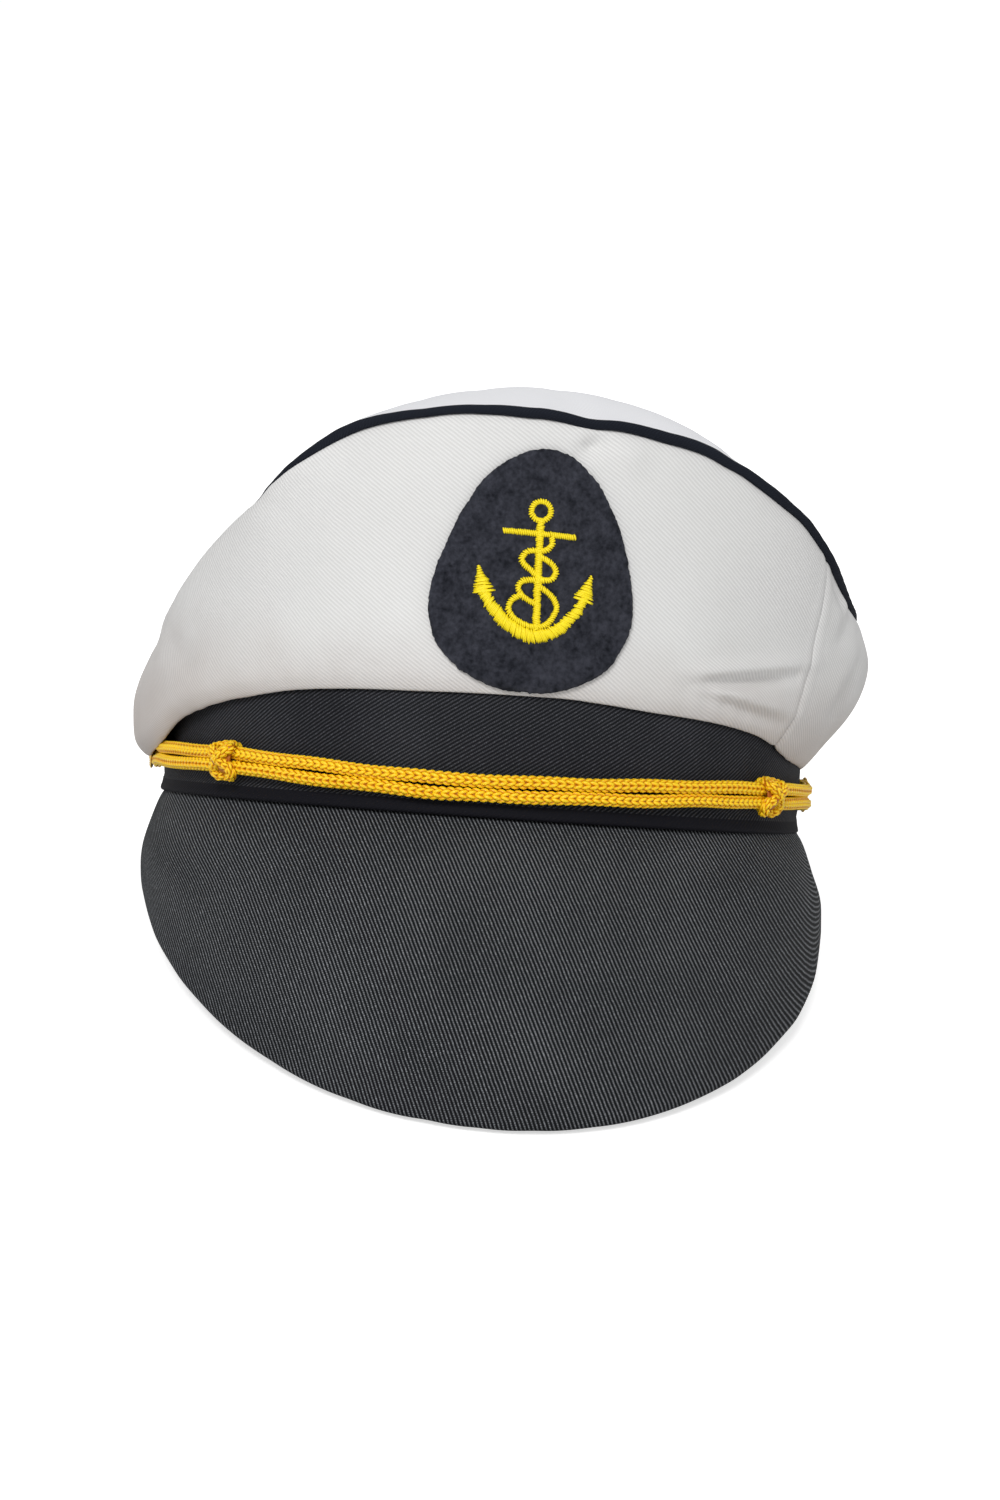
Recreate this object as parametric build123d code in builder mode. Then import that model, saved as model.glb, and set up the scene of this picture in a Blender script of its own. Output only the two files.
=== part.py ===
# Peaked cap, built as the sewn and wired assembly the real thing is.
#
# Cap frame (used for every number below, millimetres): -Y is the front, +X the
# wearer's left, Z the head axis, z = 0 the lower edge of the band.  "Left" and
# "right" in names are as seen from the front, so left is -X.  A direction phi is
# in degrees from the front, positive towards +X.  The finished cap rests on the
# visor's edge and the back of the band, so its frame is leant back about X.
from build123d import *

import math
import os

os.makedirs("parts", exist_ok=True)

# ---------------------------------------------------------------- dimensions
TILT = 15.65           # lean of the resting cap, degrees
CAP_Y = 20.8           # cap frame origin in the world
CAP_Z = 27.95
LEFT, RIGHT = -1, 1    # sign of x on each side
RUN = 0.05             # running clearance

# band: an oval of four tangent arcs
BAND_HALF_W = 88.5     # half width, outside of the band cover
BAND_HALF_L = 103.5    # half length
END_R = 82.5           # radius of the front and back arcs
BAND_H = 29.5
COVER_T = 1.1
STIFF_T = 1.4
STIFF_H = BAND_H - 1.0
SWEAT_IN = 3.8         # sweatband's outer face, measured in from the cover
SWEAT_T = 1.3
SWEAT_H = 34.0
SWEAT_Z = 0.4
END_Y = BAND_HALF_L - END_R    # centres of the end arcs lie at y = -END_Y and END_Y
SIDE_R = ((BAND_HALF_W ** 2 + END_Y ** 2 - END_R ** 2)
          / (2 * (BAND_HALF_W - END_R)))
SIDE_X = SIDE_R - BAND_HALF_W  # each side arc's centre lies this far past the middle
JOIN = math.degrees(math.atan2(SIDE_X, END_Y))  # where the arcs meet, from the Y axis

# crown
CLOTH = 1.1            # thickness of the crown cloth
CROWN_SEAM_Z = BAND_H + 1.3
PIPE_GAP = 1.3         # panel's upper edge below the piping's centre
SEAM_R = 54.0          # seam between front panel and right panel
SEAM_L = -80.0
SEAM_B = 167.0         # back seam
PROFILE_N = 15         # points along a crown section
LINING_T = 0.6
PIPE_R = 1.35
PIPE_CORE_R = 0.62

# visor
VISOR_HALF_W = 91.1    # plan ellipse of the outer edge
VISOR_FRONT = 152.2
VISOR_BACK = 9.4       # ellipse centre in front of the head axis
VISOR_SKIN = 0.7
VISOR_BOARD = 1.6
VISOR_GAP = 0.02       # between layers
VISOR_ROOT_IN = 1.0    # root line, in from the band's face
VISOR_ROOT_END = 84.0  # direction of the root's ends
VISOR_TOP_Z = -0.05    # top of every layer, just under the band's lower edge
VISOR_N = 9            # points along a visor section

# chin cord: two strands, one above the other
STRAND_R = 1.8
STRAND_RISE = STRAND_R - 0.1  # strand centre above or below the cord's plane
CORD_OFF = 2.7         # strand centre from the band's face
CORD_Z = 10.0          # height of the cord's middle at the side buttons
CORD_TILT = 1.45       # droop of the cord towards the front, degrees
CORD_END = 84.0        # where the strands run into the end eyelets, on the side arcs
EYELET_R = 4.7
EYELET_T = 2.0
TAB_L = 14.0           # flat tab from each eyelet towards the front
TAB_H = 2 * STRAND_R - 0.4
KNOT_PHI = 53.9        # direction of a slide knot, about the front arc's centre
KNOT_HALF = 3.4        # half length of a knot, degrees
KNOT_W = 2 * STRAND_R + 2.6
KNOT_H = 4 * STRAND_R + 3.0
KNOT_ROUND = 2.2
KNOT_OUT = 0.55        # collar's middle outside the strand centres

# side buttons: depths run inwards from a plane SIDE_STAND outside the band
SIDE_STAND = 8
EYELET_DEPTH = SIDE_STAND - CORD_OFF - EYELET_T / 2
BUTTON_GAP = 0.15      # button to eyelet, and shank tip to sweatband
BUTTON_DEPTH = EYELET_DEPTH - BUTTON_GAP  # inner face of the button
BUTTON_R = 5.0
RIM_T = 0.9
DOME_H = 1.1
DOME_TAPER = 38
SHANK_R = 1.2
SHANK_L = SIDE_STAND + SWEAT_IN - BUTTON_GAP - BUTTON_DEPTH
HOLE_L = 14
WASHER_R = 3.6
WASHER_T = 0.7
WASHER_DEPTH = SIDE_STAND + COVER_T + STIFF_T + 0.12

# badge
BADGE_X = 2.0
BADGE_Z = 59.6
BADGE_CUT = 80         # depth of the outline cutters
ROPE_W = 1.3

# ------------------------------------------------- crown and visor tables
# (direction from the front, value); radii are measured from the head axis
PIPE_CENTRE_Z = [
    (0, 98.3), (10, 97.6), (20, 94.5), (30, 88.5), (40, 81.5), (50, 72.5), (62, 63.5),
    (75, 58.5), (90, 55.5), (120, 50), (150, 47), (180, 46)]
PIPE_CENTRE_R = [
    (0, 109), (30, 107.5), (60, 104.5), (90, 103.5), (120, 107), (150, 112), (180, 114)]
BULGE_R = [
    (0, 107.3), (30, 105.5), (60, 103), (90, 104.5), (120, 109), (150, 115), (180, 117.5)]
BULGE_Z = [(0, 66), (30, 62), (60, 48), (90, 36), (120, 33), (150, 32), (180, 32)]
# lowest part of the side wall: its height, and its overhang beyond the band
HANG_Z = [
    (0, 30.5), (30, 29.5), (45, 28), (60, 25), (75, 20.5), (90, 17), (120, 16), (180, 17)]
HANG_OUT = [
    (0, 0.9), (30, 1.2), (45, 2.2), (60, 4.5), (90, 7.0), (120, 8.0), (180, 8.5)]
# (y, z) of the crown's centre line
TOP_Z = [
    (-112, 98), (-104, 103), (-90, 108.5), (-70, 112.3), (-50, 113.6), (-30, 112.8),
    (0, 108), (30, 99.5), (60, 86), (85, 69), (103, 55), (116, 45)]
# (plan angle, z) of the visor's outer edge
VISOR_EDGE_Z = [
    (0, -69.25), (15, -67.6), (30, -62.8), (45, -54.5), (60, -43.8), (72, -34.0),
    (82, -22.0), (90, -4.0)]

# loft stations: y of the top's sections, and -1..1 across the visor
TOP_PANEL_Y = [-106.3, -102, -94, -82, -66, -48, -28, -6, 16, 38, 60, 80, 95, 105, 110.6]
TOP_LINING_Y = [-98, -90, -80, -66, -48, -28, -6, 16, 38, 60, 80, 93, 100]
VISOR_STATIONS = [-1, -0.93, -0.84, -0.72, -0.58, -0.42, -0.22, 0,
                  0.22, 0.42, 0.58, 0.72, 0.84, 0.93, 1]

# badge outlines, (x, y) about the badge's middle, seen from the front
EGG = [
    (0, 29.0), (10.5, 27.3), (19.0, 21.5), (24.0, 10.5), (24.6, 1.5), (23.0, -9.0),
    (17.5, -20.0), (9.0, -27.0), (0, -29.4), (-9.0, -27.0), (-17.5, -20.0), (-23.0, -9.0),
    (-24.6, 1.5), (-24.0, 10.5), (-19.0, 21.5), (-10.5, 27.3)]
ANCHOR_EYE = (2.0, 13.6)
ARMS_LOWER = [(-13.0, 0.8), (0.9, -16.8), (14.4, -2.0)]    # start, middle, end of arc
ARMS_UPPER = [(11.5, -4.5), (0.9, -13.4), (-10.0, -2.0)]
FLUKES = [
    [(-14.0, 1.6), (-14.6, -6.0), (-9.0, -5.4)],
    [(15.2, -1.2), (15.0, -8.8), (9.6, -7.6)]]
ROPES = [
    [(6.3, 8.9), (1.5, 8.2), (-3.6, 3.8), (-1.0, -2.6), (3.4, -4.3), (6.3, -7.8),
     (5.4, -11.4), (0.2, -15.0)],
    [(-2.0, 8.2), (4.6, 5.4), (5.6, 0.6), (2.0, -1.8), (-2.4, -2.8), (-5.4, -6.6),
     (-4.4, -11.6), (0.2, -15.0)]]

# --------------------------------------------------------------------- frames
CAP = Plane(origin=(0, CAP_Y, CAP_Z), x_dir=(1, 0, 0),
            z_dir=(0, math.sin(math.radians(TILT)), math.cos(math.radians(TILT))))


def cap_point(x, y, z):
    """Cap-frame point in the world."""
    return CAP.from_local_coords(Vector(x, y, z))


def cap_dir(x, y, z):
    """Cap-frame direction in the world."""
    return cap_point(x, y, z) - cap_point(0, 0, 0)


def azimuth_plane(phi):
    """Upright plane through the head axis: x runs out along phi, y up."""
    a = math.radians(phi)
    return Plane(origin=cap_point(0, 0, 0), x_dir=cap_dir(math.sin(a), -math.cos(a), 0),
                 z_dir=cap_dir(-math.cos(a), -math.sin(a), 0))


def cross_plane(y):
    """Upright plane across the cap at y, seen from the front."""
    return Plane(origin=cap_point(0, y, 0), x_dir=cap_dir(1, 0, 0), z_dir=cap_dir(0, -1, 0))


def side_plane(side):
    """Plane outside a side button, facing in to the band."""
    return Plane(origin=cap_point(side * (BAND_HALF_W + SIDE_STAND), 0, CORD_Z),
                 x_dir=cap_dir(0, -side, 0), z_dir=cap_dir(-side, 0, 0))


CORD_LEAN = math.radians(CORD_TILT)
CORD = Plane(origin=cap_point(0, 0, CORD_Z), x_dir=cap_dir(1, 0, 0),
             z_dir=cap_dir(0, -math.sin(CORD_LEAN), math.cos(CORD_LEAN)))
BADGE = Plane(origin=cap_point(BADGE_X, -150, BADGE_Z), x_dir=cap_dir(1, 0, 0),
              z_dir=cap_dir(0, -1, 0))


# --------------------------------------------------------------------- curves
def lookup(rows, x):
    """Smooth (Hermite) interpolation in rows of (x, value), clamped at the ends."""
    last = len(rows) - 1
    x = max(rows[0][0], min(rows[-1][0], x))
    for i in range(last):
        if x <= rows[i + 1][0] + 1e-9:
            break
    (x0, y0), (x1, y1) = rows[i], rows[i + 1]

    def slope(k):
        if k == 0 or k == last:
            return 0.0
        return (rows[k + 1][1] - rows[k - 1][1]) / (rows[k + 1][0] - rows[k - 1][0])

    h = x1 - x0
    t = (x - x0) / h
    m0, m1 = slope(i) * h, slope(i + 1) * h
    return ((2 * t ** 3 - 3 * t ** 2 + 1) * y0 + (t ** 3 - 2 * t ** 2 + t) * m0
            + (-2 * t ** 3 + 3 * t ** 2) * y1 + (t ** 3 - t ** 2) * m1)


def spread(start, end, step):
    """Even stations from start to end, at most step apart and at least two gaps."""
    n = max(2, int(math.ceil(abs(end - start) / step)))
    return [start + (end - start) * i / n for i in range(n + 1)]


def from_front(phi):
    """Direction folded to 0..180; the crown tables serve both sides."""
    return abs((phi + 180) % 360 - 180)


def band_radius(phi, off=0.0):
    """Distance from the head axis to the band oval, moved outwards by off."""
    a = math.radians(from_front(phi))
    ray_x, ray_y = math.sin(a), -math.cos(a)

    def hit(cx, cy, radius):
        along = ray_x * cx + ray_y * cy
        rest = cx * cx + cy * cy - radius * radius
        return along + math.sqrt(max(along * along - rest, 0))

    for cy in (-END_Y, END_Y):
        t = hit(0, cy, END_R + off)
        x, y = t * ray_x, t * ray_y
        angle = math.degrees(math.atan2(x, abs(y - cy)))
        if angle <= JOIN + 1e-6 and (y - cy) * cy >= 0:
            return t
    return hit(-SIDE_X, 0, SIDE_R + off)


def offset_curve(pts, dist):
    """Move a polyline sideways to its left by dist."""
    out = []
    for i, (x, y) in enumerate(pts):
        x0, y0 = pts[max(i - 1, 0)]
        x1, y1 = pts[min(i + 1, len(pts) - 1)]
        tx, ty = x1 - x0, y1 - y0
        m = math.hypot(tx, ty)
        out.append((x - ty / m * dist, y + tx / m * dist))
    # leave out points that fold back where the curve is tighter than dist
    keep = [0]
    for i in range(1, len(pts)):
        j = keep[-1]
        new_x, new_y = out[i][0] - out[j][0], out[i][1] - out[j][1]
        old_x, old_y = pts[i][0] - pts[j][0], pts[i][1] - pts[j][1]
        along = new_x * old_x + new_y * old_y
        far = math.hypot(new_x, new_y)
        if (along > 0 and far > 0.35 * math.hypot(old_x, old_y)) or i == len(pts) - 1:
            keep.append(i)
    return [out[i] for i in keep]


def crown_profile(phi, inset=0.0, top_gap=PIPE_GAP):
    """Side wall of the crown at phi: points (r, z) from band seam to piping."""
    q = from_front(phi)
    band_r = band_radius(phi)
    pipe_r, pipe_z = lookup(PIPE_CENTRE_R, q), lookup(PIPE_CENTRE_Z, q) - top_gap
    bulge_r, bulge_z = lookup(BULGE_R, q), lookup(BULGE_Z, q)
    out, hang_z = lookup(HANG_OUT, q), lookup(HANG_Z, q)
    knots = [
        (band_r - 0.5, CROWN_SEAM_Z),                                   # seam
        (band_r + 0.28 * out, hang_z + 0.4 * (CROWN_SEAM_Z - hang_z)),  # down over the band
        (band_r + 0.8 * out, hang_z),                                   # lowest point
        (band_r + 1.45 * out + 0.3, hang_z + 1.5 + 0.12 * out),         # turning up
        (bulge_r, bulge_z),
        ((bulge_r + pipe_r) / 2 + 0.5, (bulge_z + pipe_z) / 2 + 1),
        (pipe_r, pipe_z)]
    # knot spacing is a power of the chord, which keeps the tight turn smooth
    s = [0.0]
    for (x0, y0), (x1, y1) in zip(knots, knots[1:]):
        s.append(s[-1] + math.hypot(x1 - x0, y1 - y0) ** 0.7)
    r_rows = [(u, k[0]) for u, k in zip(s, knots)]
    z_rows = [(u, k[1]) for u, k in zip(s, knots)]
    pts = []
    for i in range(PROFILE_N):
        u = s[-1] * (i / (PROFILE_N - 1))
        pts.append((lookup(r_rows, u), lookup(z_rows, u)))
    return offset_curve(pts, inset) if inset else pts


# -------------------------------------------------------------- shared shapes
def strip_section(outer, inner):
    """Closed thin outline between two polylines, as smooth curves."""
    Spline(*outer)
    Line(outer[-1], inner[-1])
    Spline(*reversed(inner))
    Line(inner[0], outer[0])


def loft_strips(*runs):
    """One loft per run of (plane, (outer, inner)) strip sections, joined."""
    with BuildPart() as sheet:
        for run in runs:
            for plane, (outer, inner) in run:
                with BuildSketch(plane):
                    with BuildLine():
                        strip_section(outer, inner)
                    make_face()
            loft()
    return sheet.part


def extrude_disc(plane, radius, amount, taper=0.0, mode=Mode.ADD):
    with BuildSketch(plane) as disc:
        Circle(radius)
    extrude(disc.sketch, amount=amount, taper=taper, mode=mode)


def shank_holes():
    for side in (LEFT, RIGHT):
        extrude_disc(side_plane(side), SHANK_R + RUN, HOLE_L, mode=Mode.SUBTRACT)


# ------------------------------------------------------------------- the band
def oval(off):
    """The band oval moved outwards by off."""
    CenterArc((0, -END_Y), END_R + off, 270 - JOIN, 2 * JOIN)
    CenterArc((-SIDE_X, 0), SIDE_R + off, -(90 - JOIN), 2 * (90 - JOIN))
    CenterArc((0, END_Y), END_R + off, 90 - JOIN, 2 * JOIN)
    CenterArc((SIDE_X, 0), SIDE_R + off, 90 + JOIN, 2 * (90 - JOIN))


def band_ring(inset, thick, height, z=0, holes=True):
    """Oval ring whose outer face lies inset from the band's face."""
    with BuildPart() as ring:
        with BuildSketch(CAP.offset(z)):
            with BuildLine():
                oval(-inset)
            make_face()
            with BuildLine():
                oval(-inset - thick)
            make_face(mode=Mode.SUBTRACT)
        extrude(amount=height)
        if holes:
            shank_holes()
    return ring.part


# ------------------------------------------------------------------ the crown
def wall_run(start, end, step, outer, inner, top_gap=PIPE_GAP, part=slice(None)):
    """Sections of a side wall layer between two insets; part picks profile points."""
    return [(azimuth_plane(phi), (crown_profile(phi, outer, top_gap)[part],
                                  crown_profile(phi, inner, top_gap)[part]))
            for phi in spread(start, end, step)]


def crown_panel(start, end):
    return loft_strips(wall_run(start, end, 11, 0.0, CLOTH))


def front_stiffener():
    return loft_strips(wall_run(-48, 48, 12, CLOTH + 0.35, CLOTH + 1.15,
                                top_gap=5.0, part=slice(4, None)))


def crown_lining_side():
    """Lining of the upper side wall, front half and back half."""
    return loft_strips(*[wall_run(start, start + 180, 12, CLOTH + 2.5, CLOTH + 2.5 + LINING_T,
                                  top_gap=7.0, part=slice(-6, None))
                         for start in (-90, 90)])


def crown_edge(y, inset, drop):
    """Half width and height of the crown edge where it crosses y."""
    def edge_r(phi):
        return lookup(PIPE_CENTRE_R, phi) - inset

    lo, hi = 0.0, 180.0
    for _ in range(50):
        mid = (lo + hi) / 2
        if -edge_r(mid) * math.cos(math.radians(mid)) < y:
            lo = mid
        else:
            hi = mid
    return edge_r(lo) * math.sin(math.radians(lo)), lookup(PIPE_CENTRE_Z, lo) - drop


def top_section(y, inset, drop, thick):
    """Domed strip across the crown at y, inset and dropped from the piping line."""
    half_w, edge_z = crown_edge(y, inset, drop)
    mid_z = max(lookup(TOP_Z, y) - drop, edge_z + 0.6)
    outer, inner = [], []
    for i in range(PROFILE_N):
        u = -1 + 2 * i / (PROFILE_N - 1)
        across = math.sin(u * math.pi / 2)
        rise = max(1 - abs(across) ** 2.3, 0) ** 0.75
        x = half_w * across
        z = edge_z + (mid_z - edge_z) * rise
        outer.append((x, z))
        inner.append((x * (1 - thick / half_w), z - thick))
    return outer, inner


def top_sheet(stations, inset, drop, thick):
    return loft_strips([(cross_plane(y), top_section(y, inset, drop, thick))
                        for y in stations])


def piping(*passes):
    """Round tube along the crown edge, two half turns for each (radius, mode)."""
    with BuildPart() as tube:
        for radius, mode in passes:
            for start in (0, 180):
                for phi in spread(start, start + 180, 15):
                    q = from_front(phi)
                    with BuildSketch(azimuth_plane(phi)):
                        with Locations((lookup(PIPE_CENTRE_R, q), lookup(PIPE_CENTRE_Z, q))):
                            Circle(radius)
                loft(mode=mode)
    return tube.part


# ------------------------------------------------------------------ the visor
def visor_section(t, top, bottom):
    """Plane and strip of a visor layer at t; top and bottom are depths below the face."""
    side = 1 if t >= 0 else -1
    q = abs(t)
    edge_a = math.radians(90 * q)
    edge_x = VISOR_HALF_W * math.sin(edge_a)
    edge_y = -VISOR_BACK - (VISOR_FRONT - VISOR_BACK) * math.cos(edge_a)
    edge_z = lookup(VISOR_EDGE_Z, 90 * q)
    root_phi = VISOR_ROOT_END * q
    root_r = band_radius(root_phi, -VISOR_ROOT_IN)
    root_x = root_r * math.sin(math.radians(root_phi))
    root_y = -root_r * math.cos(math.radians(root_phi))
    reach = math.hypot(edge_x - root_x, edge_y - root_y)
    out_x = side * (edge_x - root_x) / reach
    out_y = (edge_y - root_y) / reach
    plane = Plane(origin=cap_point(side * root_x, root_y, 0),
                  x_dir=cap_dir(out_x, out_y, 0), z_dir=cap_dir(out_y, -out_x, 0))

    # straight line from root to edge, bowed upwards along its normal
    slant = math.hypot(reach, edge_z)
    normal_x, normal_z = -edge_z / slant, reach / slant
    bow = 0.045 * reach + 0.5
    face = []
    for i in range(VISOR_N):
        f = i / (VISOR_N - 1)
        g = 4 * f * (1 - f)
        face.append((reach * f + normal_x * bow * g,
                     VISOR_TOP_Z + (edge_z - VISOR_TOP_Z) * f + normal_z * bow * g))
    # keep every layer under the band's lower edge
    strip = [[(x, min(z, VISOR_TOP_Z)) for x, z in offset_curve(face, -depth)]
             for depth in (top, bottom)]
    return plane, strip


def visor_layer(top, bottom):
    return loft_strips([visor_section(t, top, bottom) for t in VISOR_STATIONS])


# -------------------------------------------------------------- the chin cord
def strand(height):
    """One strand: side arc, front arc, side arc, at a height over the cord's plane."""
    with BuildLine(CORD.offset(height)) as run:
        CenterArc((SIDE_X, 0), SIDE_R + CORD_OFF, 180 + (90 - CORD_END), CORD_END - JOIN)
        CenterArc((0, -END_Y), END_R + CORD_OFF, 270 - JOIN, 2 * JOIN)
        CenterArc((-SIDE_X, 0), SIDE_R + CORD_OFF, 270 + JOIN, CORD_END - JOIN)
    start = Plane(origin=run.line @ 0, x_dir=cap_dir(0, 0, 1), z_dir=run.line % 0)
    with BuildSketch(start) as disc:
        Circle(STRAND_R)
    sweep(disc.sketch, path=run.line)


def chin_cord():
    with BuildPart() as cord:
        strand(STRAND_RISE)
        strand(-STRAND_RISE)
        for side in (LEFT, RIGHT):
            # eyelet round the button's shank, then the tab that meets the strands
            with BuildSketch(side_plane(side).offset(EYELET_DEPTH)):
                Circle(EYELET_R)
            extrude(amount=EYELET_T)
            with BuildSketch(side_plane(side).offset(EYELET_DEPTH)):
                with Locations((side * TAB_L / 2, 0)):
                    Rectangle(TAB_L, TAB_H)
            extrude(amount=EYELET_T)
        shank_holes()
    return cord.part


def slide_knot(side):
    """A rounded collar round both strands, bent to the front arc."""
    centre = CORD.from_local_coords(Vector(0, -END_Y, 0))
    a = math.radians(-90 + side * KNOT_PHI - KNOT_HALF)
    radial = (CORD.from_local_coords(Vector(math.cos(a), math.sin(a), 0))
              - CORD.from_local_coords(Vector(0, 0, 0)))
    # the knot's first face holds the arc's axis and the radial direction
    first_face = Plane(origin=centre + radial * (END_R + CORD_OFF), x_dir=radial,
                       z_dir=radial.cross(CORD.z_dir))
    with BuildSketch(first_face) as collar:
        with Locations((KNOT_OUT, 0)):
            RectangleRounded(KNOT_W, KNOT_H, KNOT_ROUND)
        with Locations((0, STRAND_RISE), (0, -STRAND_RISE)):
            Circle(STRAND_R + RUN, mode=Mode.SUBTRACT)
        # clears the waist between the two strand holes
        Rectangle(1.2, 2.4, mode=Mode.SUBTRACT)
    with BuildPart() as knot:
        revolve(collar.sketch, axis=Axis(centre, CORD.z_dir), revolution_arc=2 * KNOT_HALF)
    return knot.part


# ----------------------------------------------------------- the side buttons
def side_button(side):
    """Rim, tapered dome outside it and shank through the band."""
    inner_face = side_plane(side).offset(BUTTON_DEPTH)
    rim_face = side_plane(side).offset(BUTTON_DEPTH - RIM_T)
    with BuildPart() as button:
        extrude_disc(rim_face, BUTTON_R, RIM_T)
        extrude_disc(rim_face, BUTTON_R - 0.3, -DOME_H, taper=DOME_TAPER)
        extrude_disc(inner_face, SHANK_R, SHANK_L)
    return button.part


def button_washer(side):
    """Washer on the shank, inside the band stiffener."""
    with BuildPart() as washer:
        with BuildSketch(side_plane(side).offset(WASHER_DEPTH)):
            Circle(WASHER_R)
            Circle(SHANK_R + RUN, mode=Mode.SUBTRACT)
        extrude(amount=WASHER_T)
    return washer.part


# ------------------------------------------------------------------ the badge
def badge_shell(low, high):
    """Curved sheet that follows the crown's front, from low to high off the cloth."""
    sections = []
    for phi in spread(-18, 22, 10):
        with BuildSketch(azimuth_plane(phi)) as section:
            with BuildLine():
                strip_section(crown_profile(phi, -high)[-11:], crown_profile(phi, -low)[-11:])
            make_face()
        sections.append(section.sketch)
    loft(sections)


def badge_egg(low, high, scale=1.0):
    with BuildPart() as egg:
        badge_shell(low, high)
        with BuildSketch(BADGE):
            with BuildLine():
                Spline(*[(x * scale, y * scale) for x, y in EGG], periodic=True)
            make_face()
        extrude(amount=-BADGE_CUT, mode=Mode.INTERSECT)
    return egg.part


def badge_anchor():
    with BuildPart() as anchor:
        badge_shell(1.37, 2.4)
        with BuildSketch(BADGE):
            with Locations(ANCHOR_EYE):
                Circle(2.9)
            # stock, then shank
            with Locations(Location((1.4, 8.9), -5.7)):
                Rectangle(17.0, 1.5)
            with Locations((1.3, -3.0)):
                Rectangle(1.7, 28.0)
            with BuildLine():
                ThreePointArc(*ARMS_LOWER)
                Line(ARMS_LOWER[-1], ARMS_UPPER[0])
                ThreePointArc(*ARMS_UPPER)
                Line(ARMS_UPPER[-1], ARMS_LOWER[0])
            make_face()
            for fluke in FLUKES:
                with BuildLine():
                    Polyline(*fluke, close=True)
                make_face()
            with Locations(ANCHOR_EYE):
                Circle(1.7, mode=Mode.SUBTRACT)
        extrude(amount=-BADGE_CUT, mode=Mode.INTERSECT)
    return anchor.part


def badge_rope():
    with BuildPart() as rope:
        badge_shell(1.37, 2.9)
        with BuildSketch(BADGE):
            for course in ROPES:
                with BuildLine():
                    Spline(*course)
                trace(line_width=ROPE_W)
        extrude(amount=-BADGE_CUT, mode=Mode.INTERSECT)
    return rope.part


# ------------------------------------------------------------ labels and files
VISOR_UNDER = VISOR_SKIN + VISOR_BOARD  # depth of the board's lower face

PARTS = {
    "band_cover": band_ring(0.0, COVER_T, BAND_H),
    "band_stiffener": band_ring(COVER_T, STIFF_T, STIFF_H),
    "sweatband": band_ring(SWEAT_IN, SWEAT_T, SWEAT_H, z=SWEAT_Z, holes=False),
    "crown_front_panel": crown_panel(SEAM_L, SEAM_R),
    "crown_right_panel": crown_panel(SEAM_R, SEAM_B),
    "crown_left_panel": crown_panel(SEAM_B, SEAM_L + 360),
    "front_stiffener": front_stiffener(),
    "crown_lining_side": crown_lining_side(),
    "crown_top_panel": top_sheet(TOP_PANEL_Y, inset=1.0, drop=-0.2, thick=CLOTH),
    "crown_lining_top": top_sheet(TOP_LINING_Y, inset=5.5, drop=4.5, thick=LINING_T),
    "piping_cover": piping((PIPE_R, Mode.ADD), (PIPE_CORE_R + RUN, Mode.SUBTRACT)),
    "piping_cord": piping((PIPE_CORE_R, Mode.ADD)),
    "visor_top_cover": visor_layer(0.0, VISOR_SKIN),
    "visor_board": visor_layer(VISOR_SKIN + VISOR_GAP, VISOR_UNDER),
    "visor_under_cover": visor_layer(VISOR_UNDER + VISOR_GAP, VISOR_UNDER + VISOR_SKIN),
    "chin_cord": chin_cord(),
    "left_slide_knot": slide_knot(LEFT),
    "right_slide_knot": slide_knot(RIGHT),
    "left_button": side_button(LEFT),
    "right_button": side_button(RIGHT),
    "left_button_washer": button_washer(LEFT),
    "right_button_washer": button_washer(RIGHT),
    "badge_felt": badge_egg(0.35, 1.35),
    "badge_backing": badge_egg(0.05, 0.33, scale=0.93),
    "badge_anchor": badge_anchor(),
    "badge_rope": badge_rope(),
}

for name, part in PARTS.items():
    part.label = name
    export_step(part, f"parts/{name}.step")
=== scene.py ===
"""A peaked cap: white crown, dark band and visor, gold chin cord and an embroidered anchor badge.

Shapes are drawn in the cap frame, in millimetres: x to the right, y to the back, z up, with the
band's lower edge near z = 0. place() tips this frame back about x and turns it into metres.
Angles round the cap, called phi or turn, are in degrees from the front, positive to the right.
A mesh is passed round as (points, faces, uv), a grid as (points[i, j], uv[i, j]).
"""
import math
import bpy
import numpy as np
from mathutils import Matrix, Vector


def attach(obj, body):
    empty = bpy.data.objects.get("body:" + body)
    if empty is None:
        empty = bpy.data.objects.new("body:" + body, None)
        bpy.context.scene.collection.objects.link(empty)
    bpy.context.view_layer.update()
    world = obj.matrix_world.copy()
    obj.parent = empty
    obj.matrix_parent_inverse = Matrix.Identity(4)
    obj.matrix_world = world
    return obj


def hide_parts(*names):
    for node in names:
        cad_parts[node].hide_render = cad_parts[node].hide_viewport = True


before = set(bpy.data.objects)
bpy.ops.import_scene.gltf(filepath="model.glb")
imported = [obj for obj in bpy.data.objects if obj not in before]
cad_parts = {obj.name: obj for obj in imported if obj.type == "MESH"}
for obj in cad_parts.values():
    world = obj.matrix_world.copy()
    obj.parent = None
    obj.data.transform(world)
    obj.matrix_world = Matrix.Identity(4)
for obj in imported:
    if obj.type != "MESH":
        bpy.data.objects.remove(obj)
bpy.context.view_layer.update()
rng = np.random.default_rng(7)      # jitter of the badge stitches
COARSE = 1     # divides the counts of the densest grids

# ---------------------------------------------------------------- cap frame
TILT = math.radians(15.65)
CAP_ORIGIN = np.array([0.0, 20.8, 27.95])
CAP_TURN = np.array([[1, 0, 0],
                     [0, math.cos(TILT), math.sin(TILT)],
                     [0, -math.sin(TILT), math.cos(TILT)]])


def place(points):
    """Cap-frame millimetres to scene metres."""
    return (points @ CAP_TURN.T + CAP_ORIGIN) / 1000.0


# ---------------------------------------------------------------- small mathematics
def clip01(x):
    return np.clip(x, 0, 1)


def bell(x):
    return np.exp(-x ** 2)


def signed(angle):
    """Degrees brought into -180..180."""
    return (angle + 180) % 360 - 180


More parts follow.
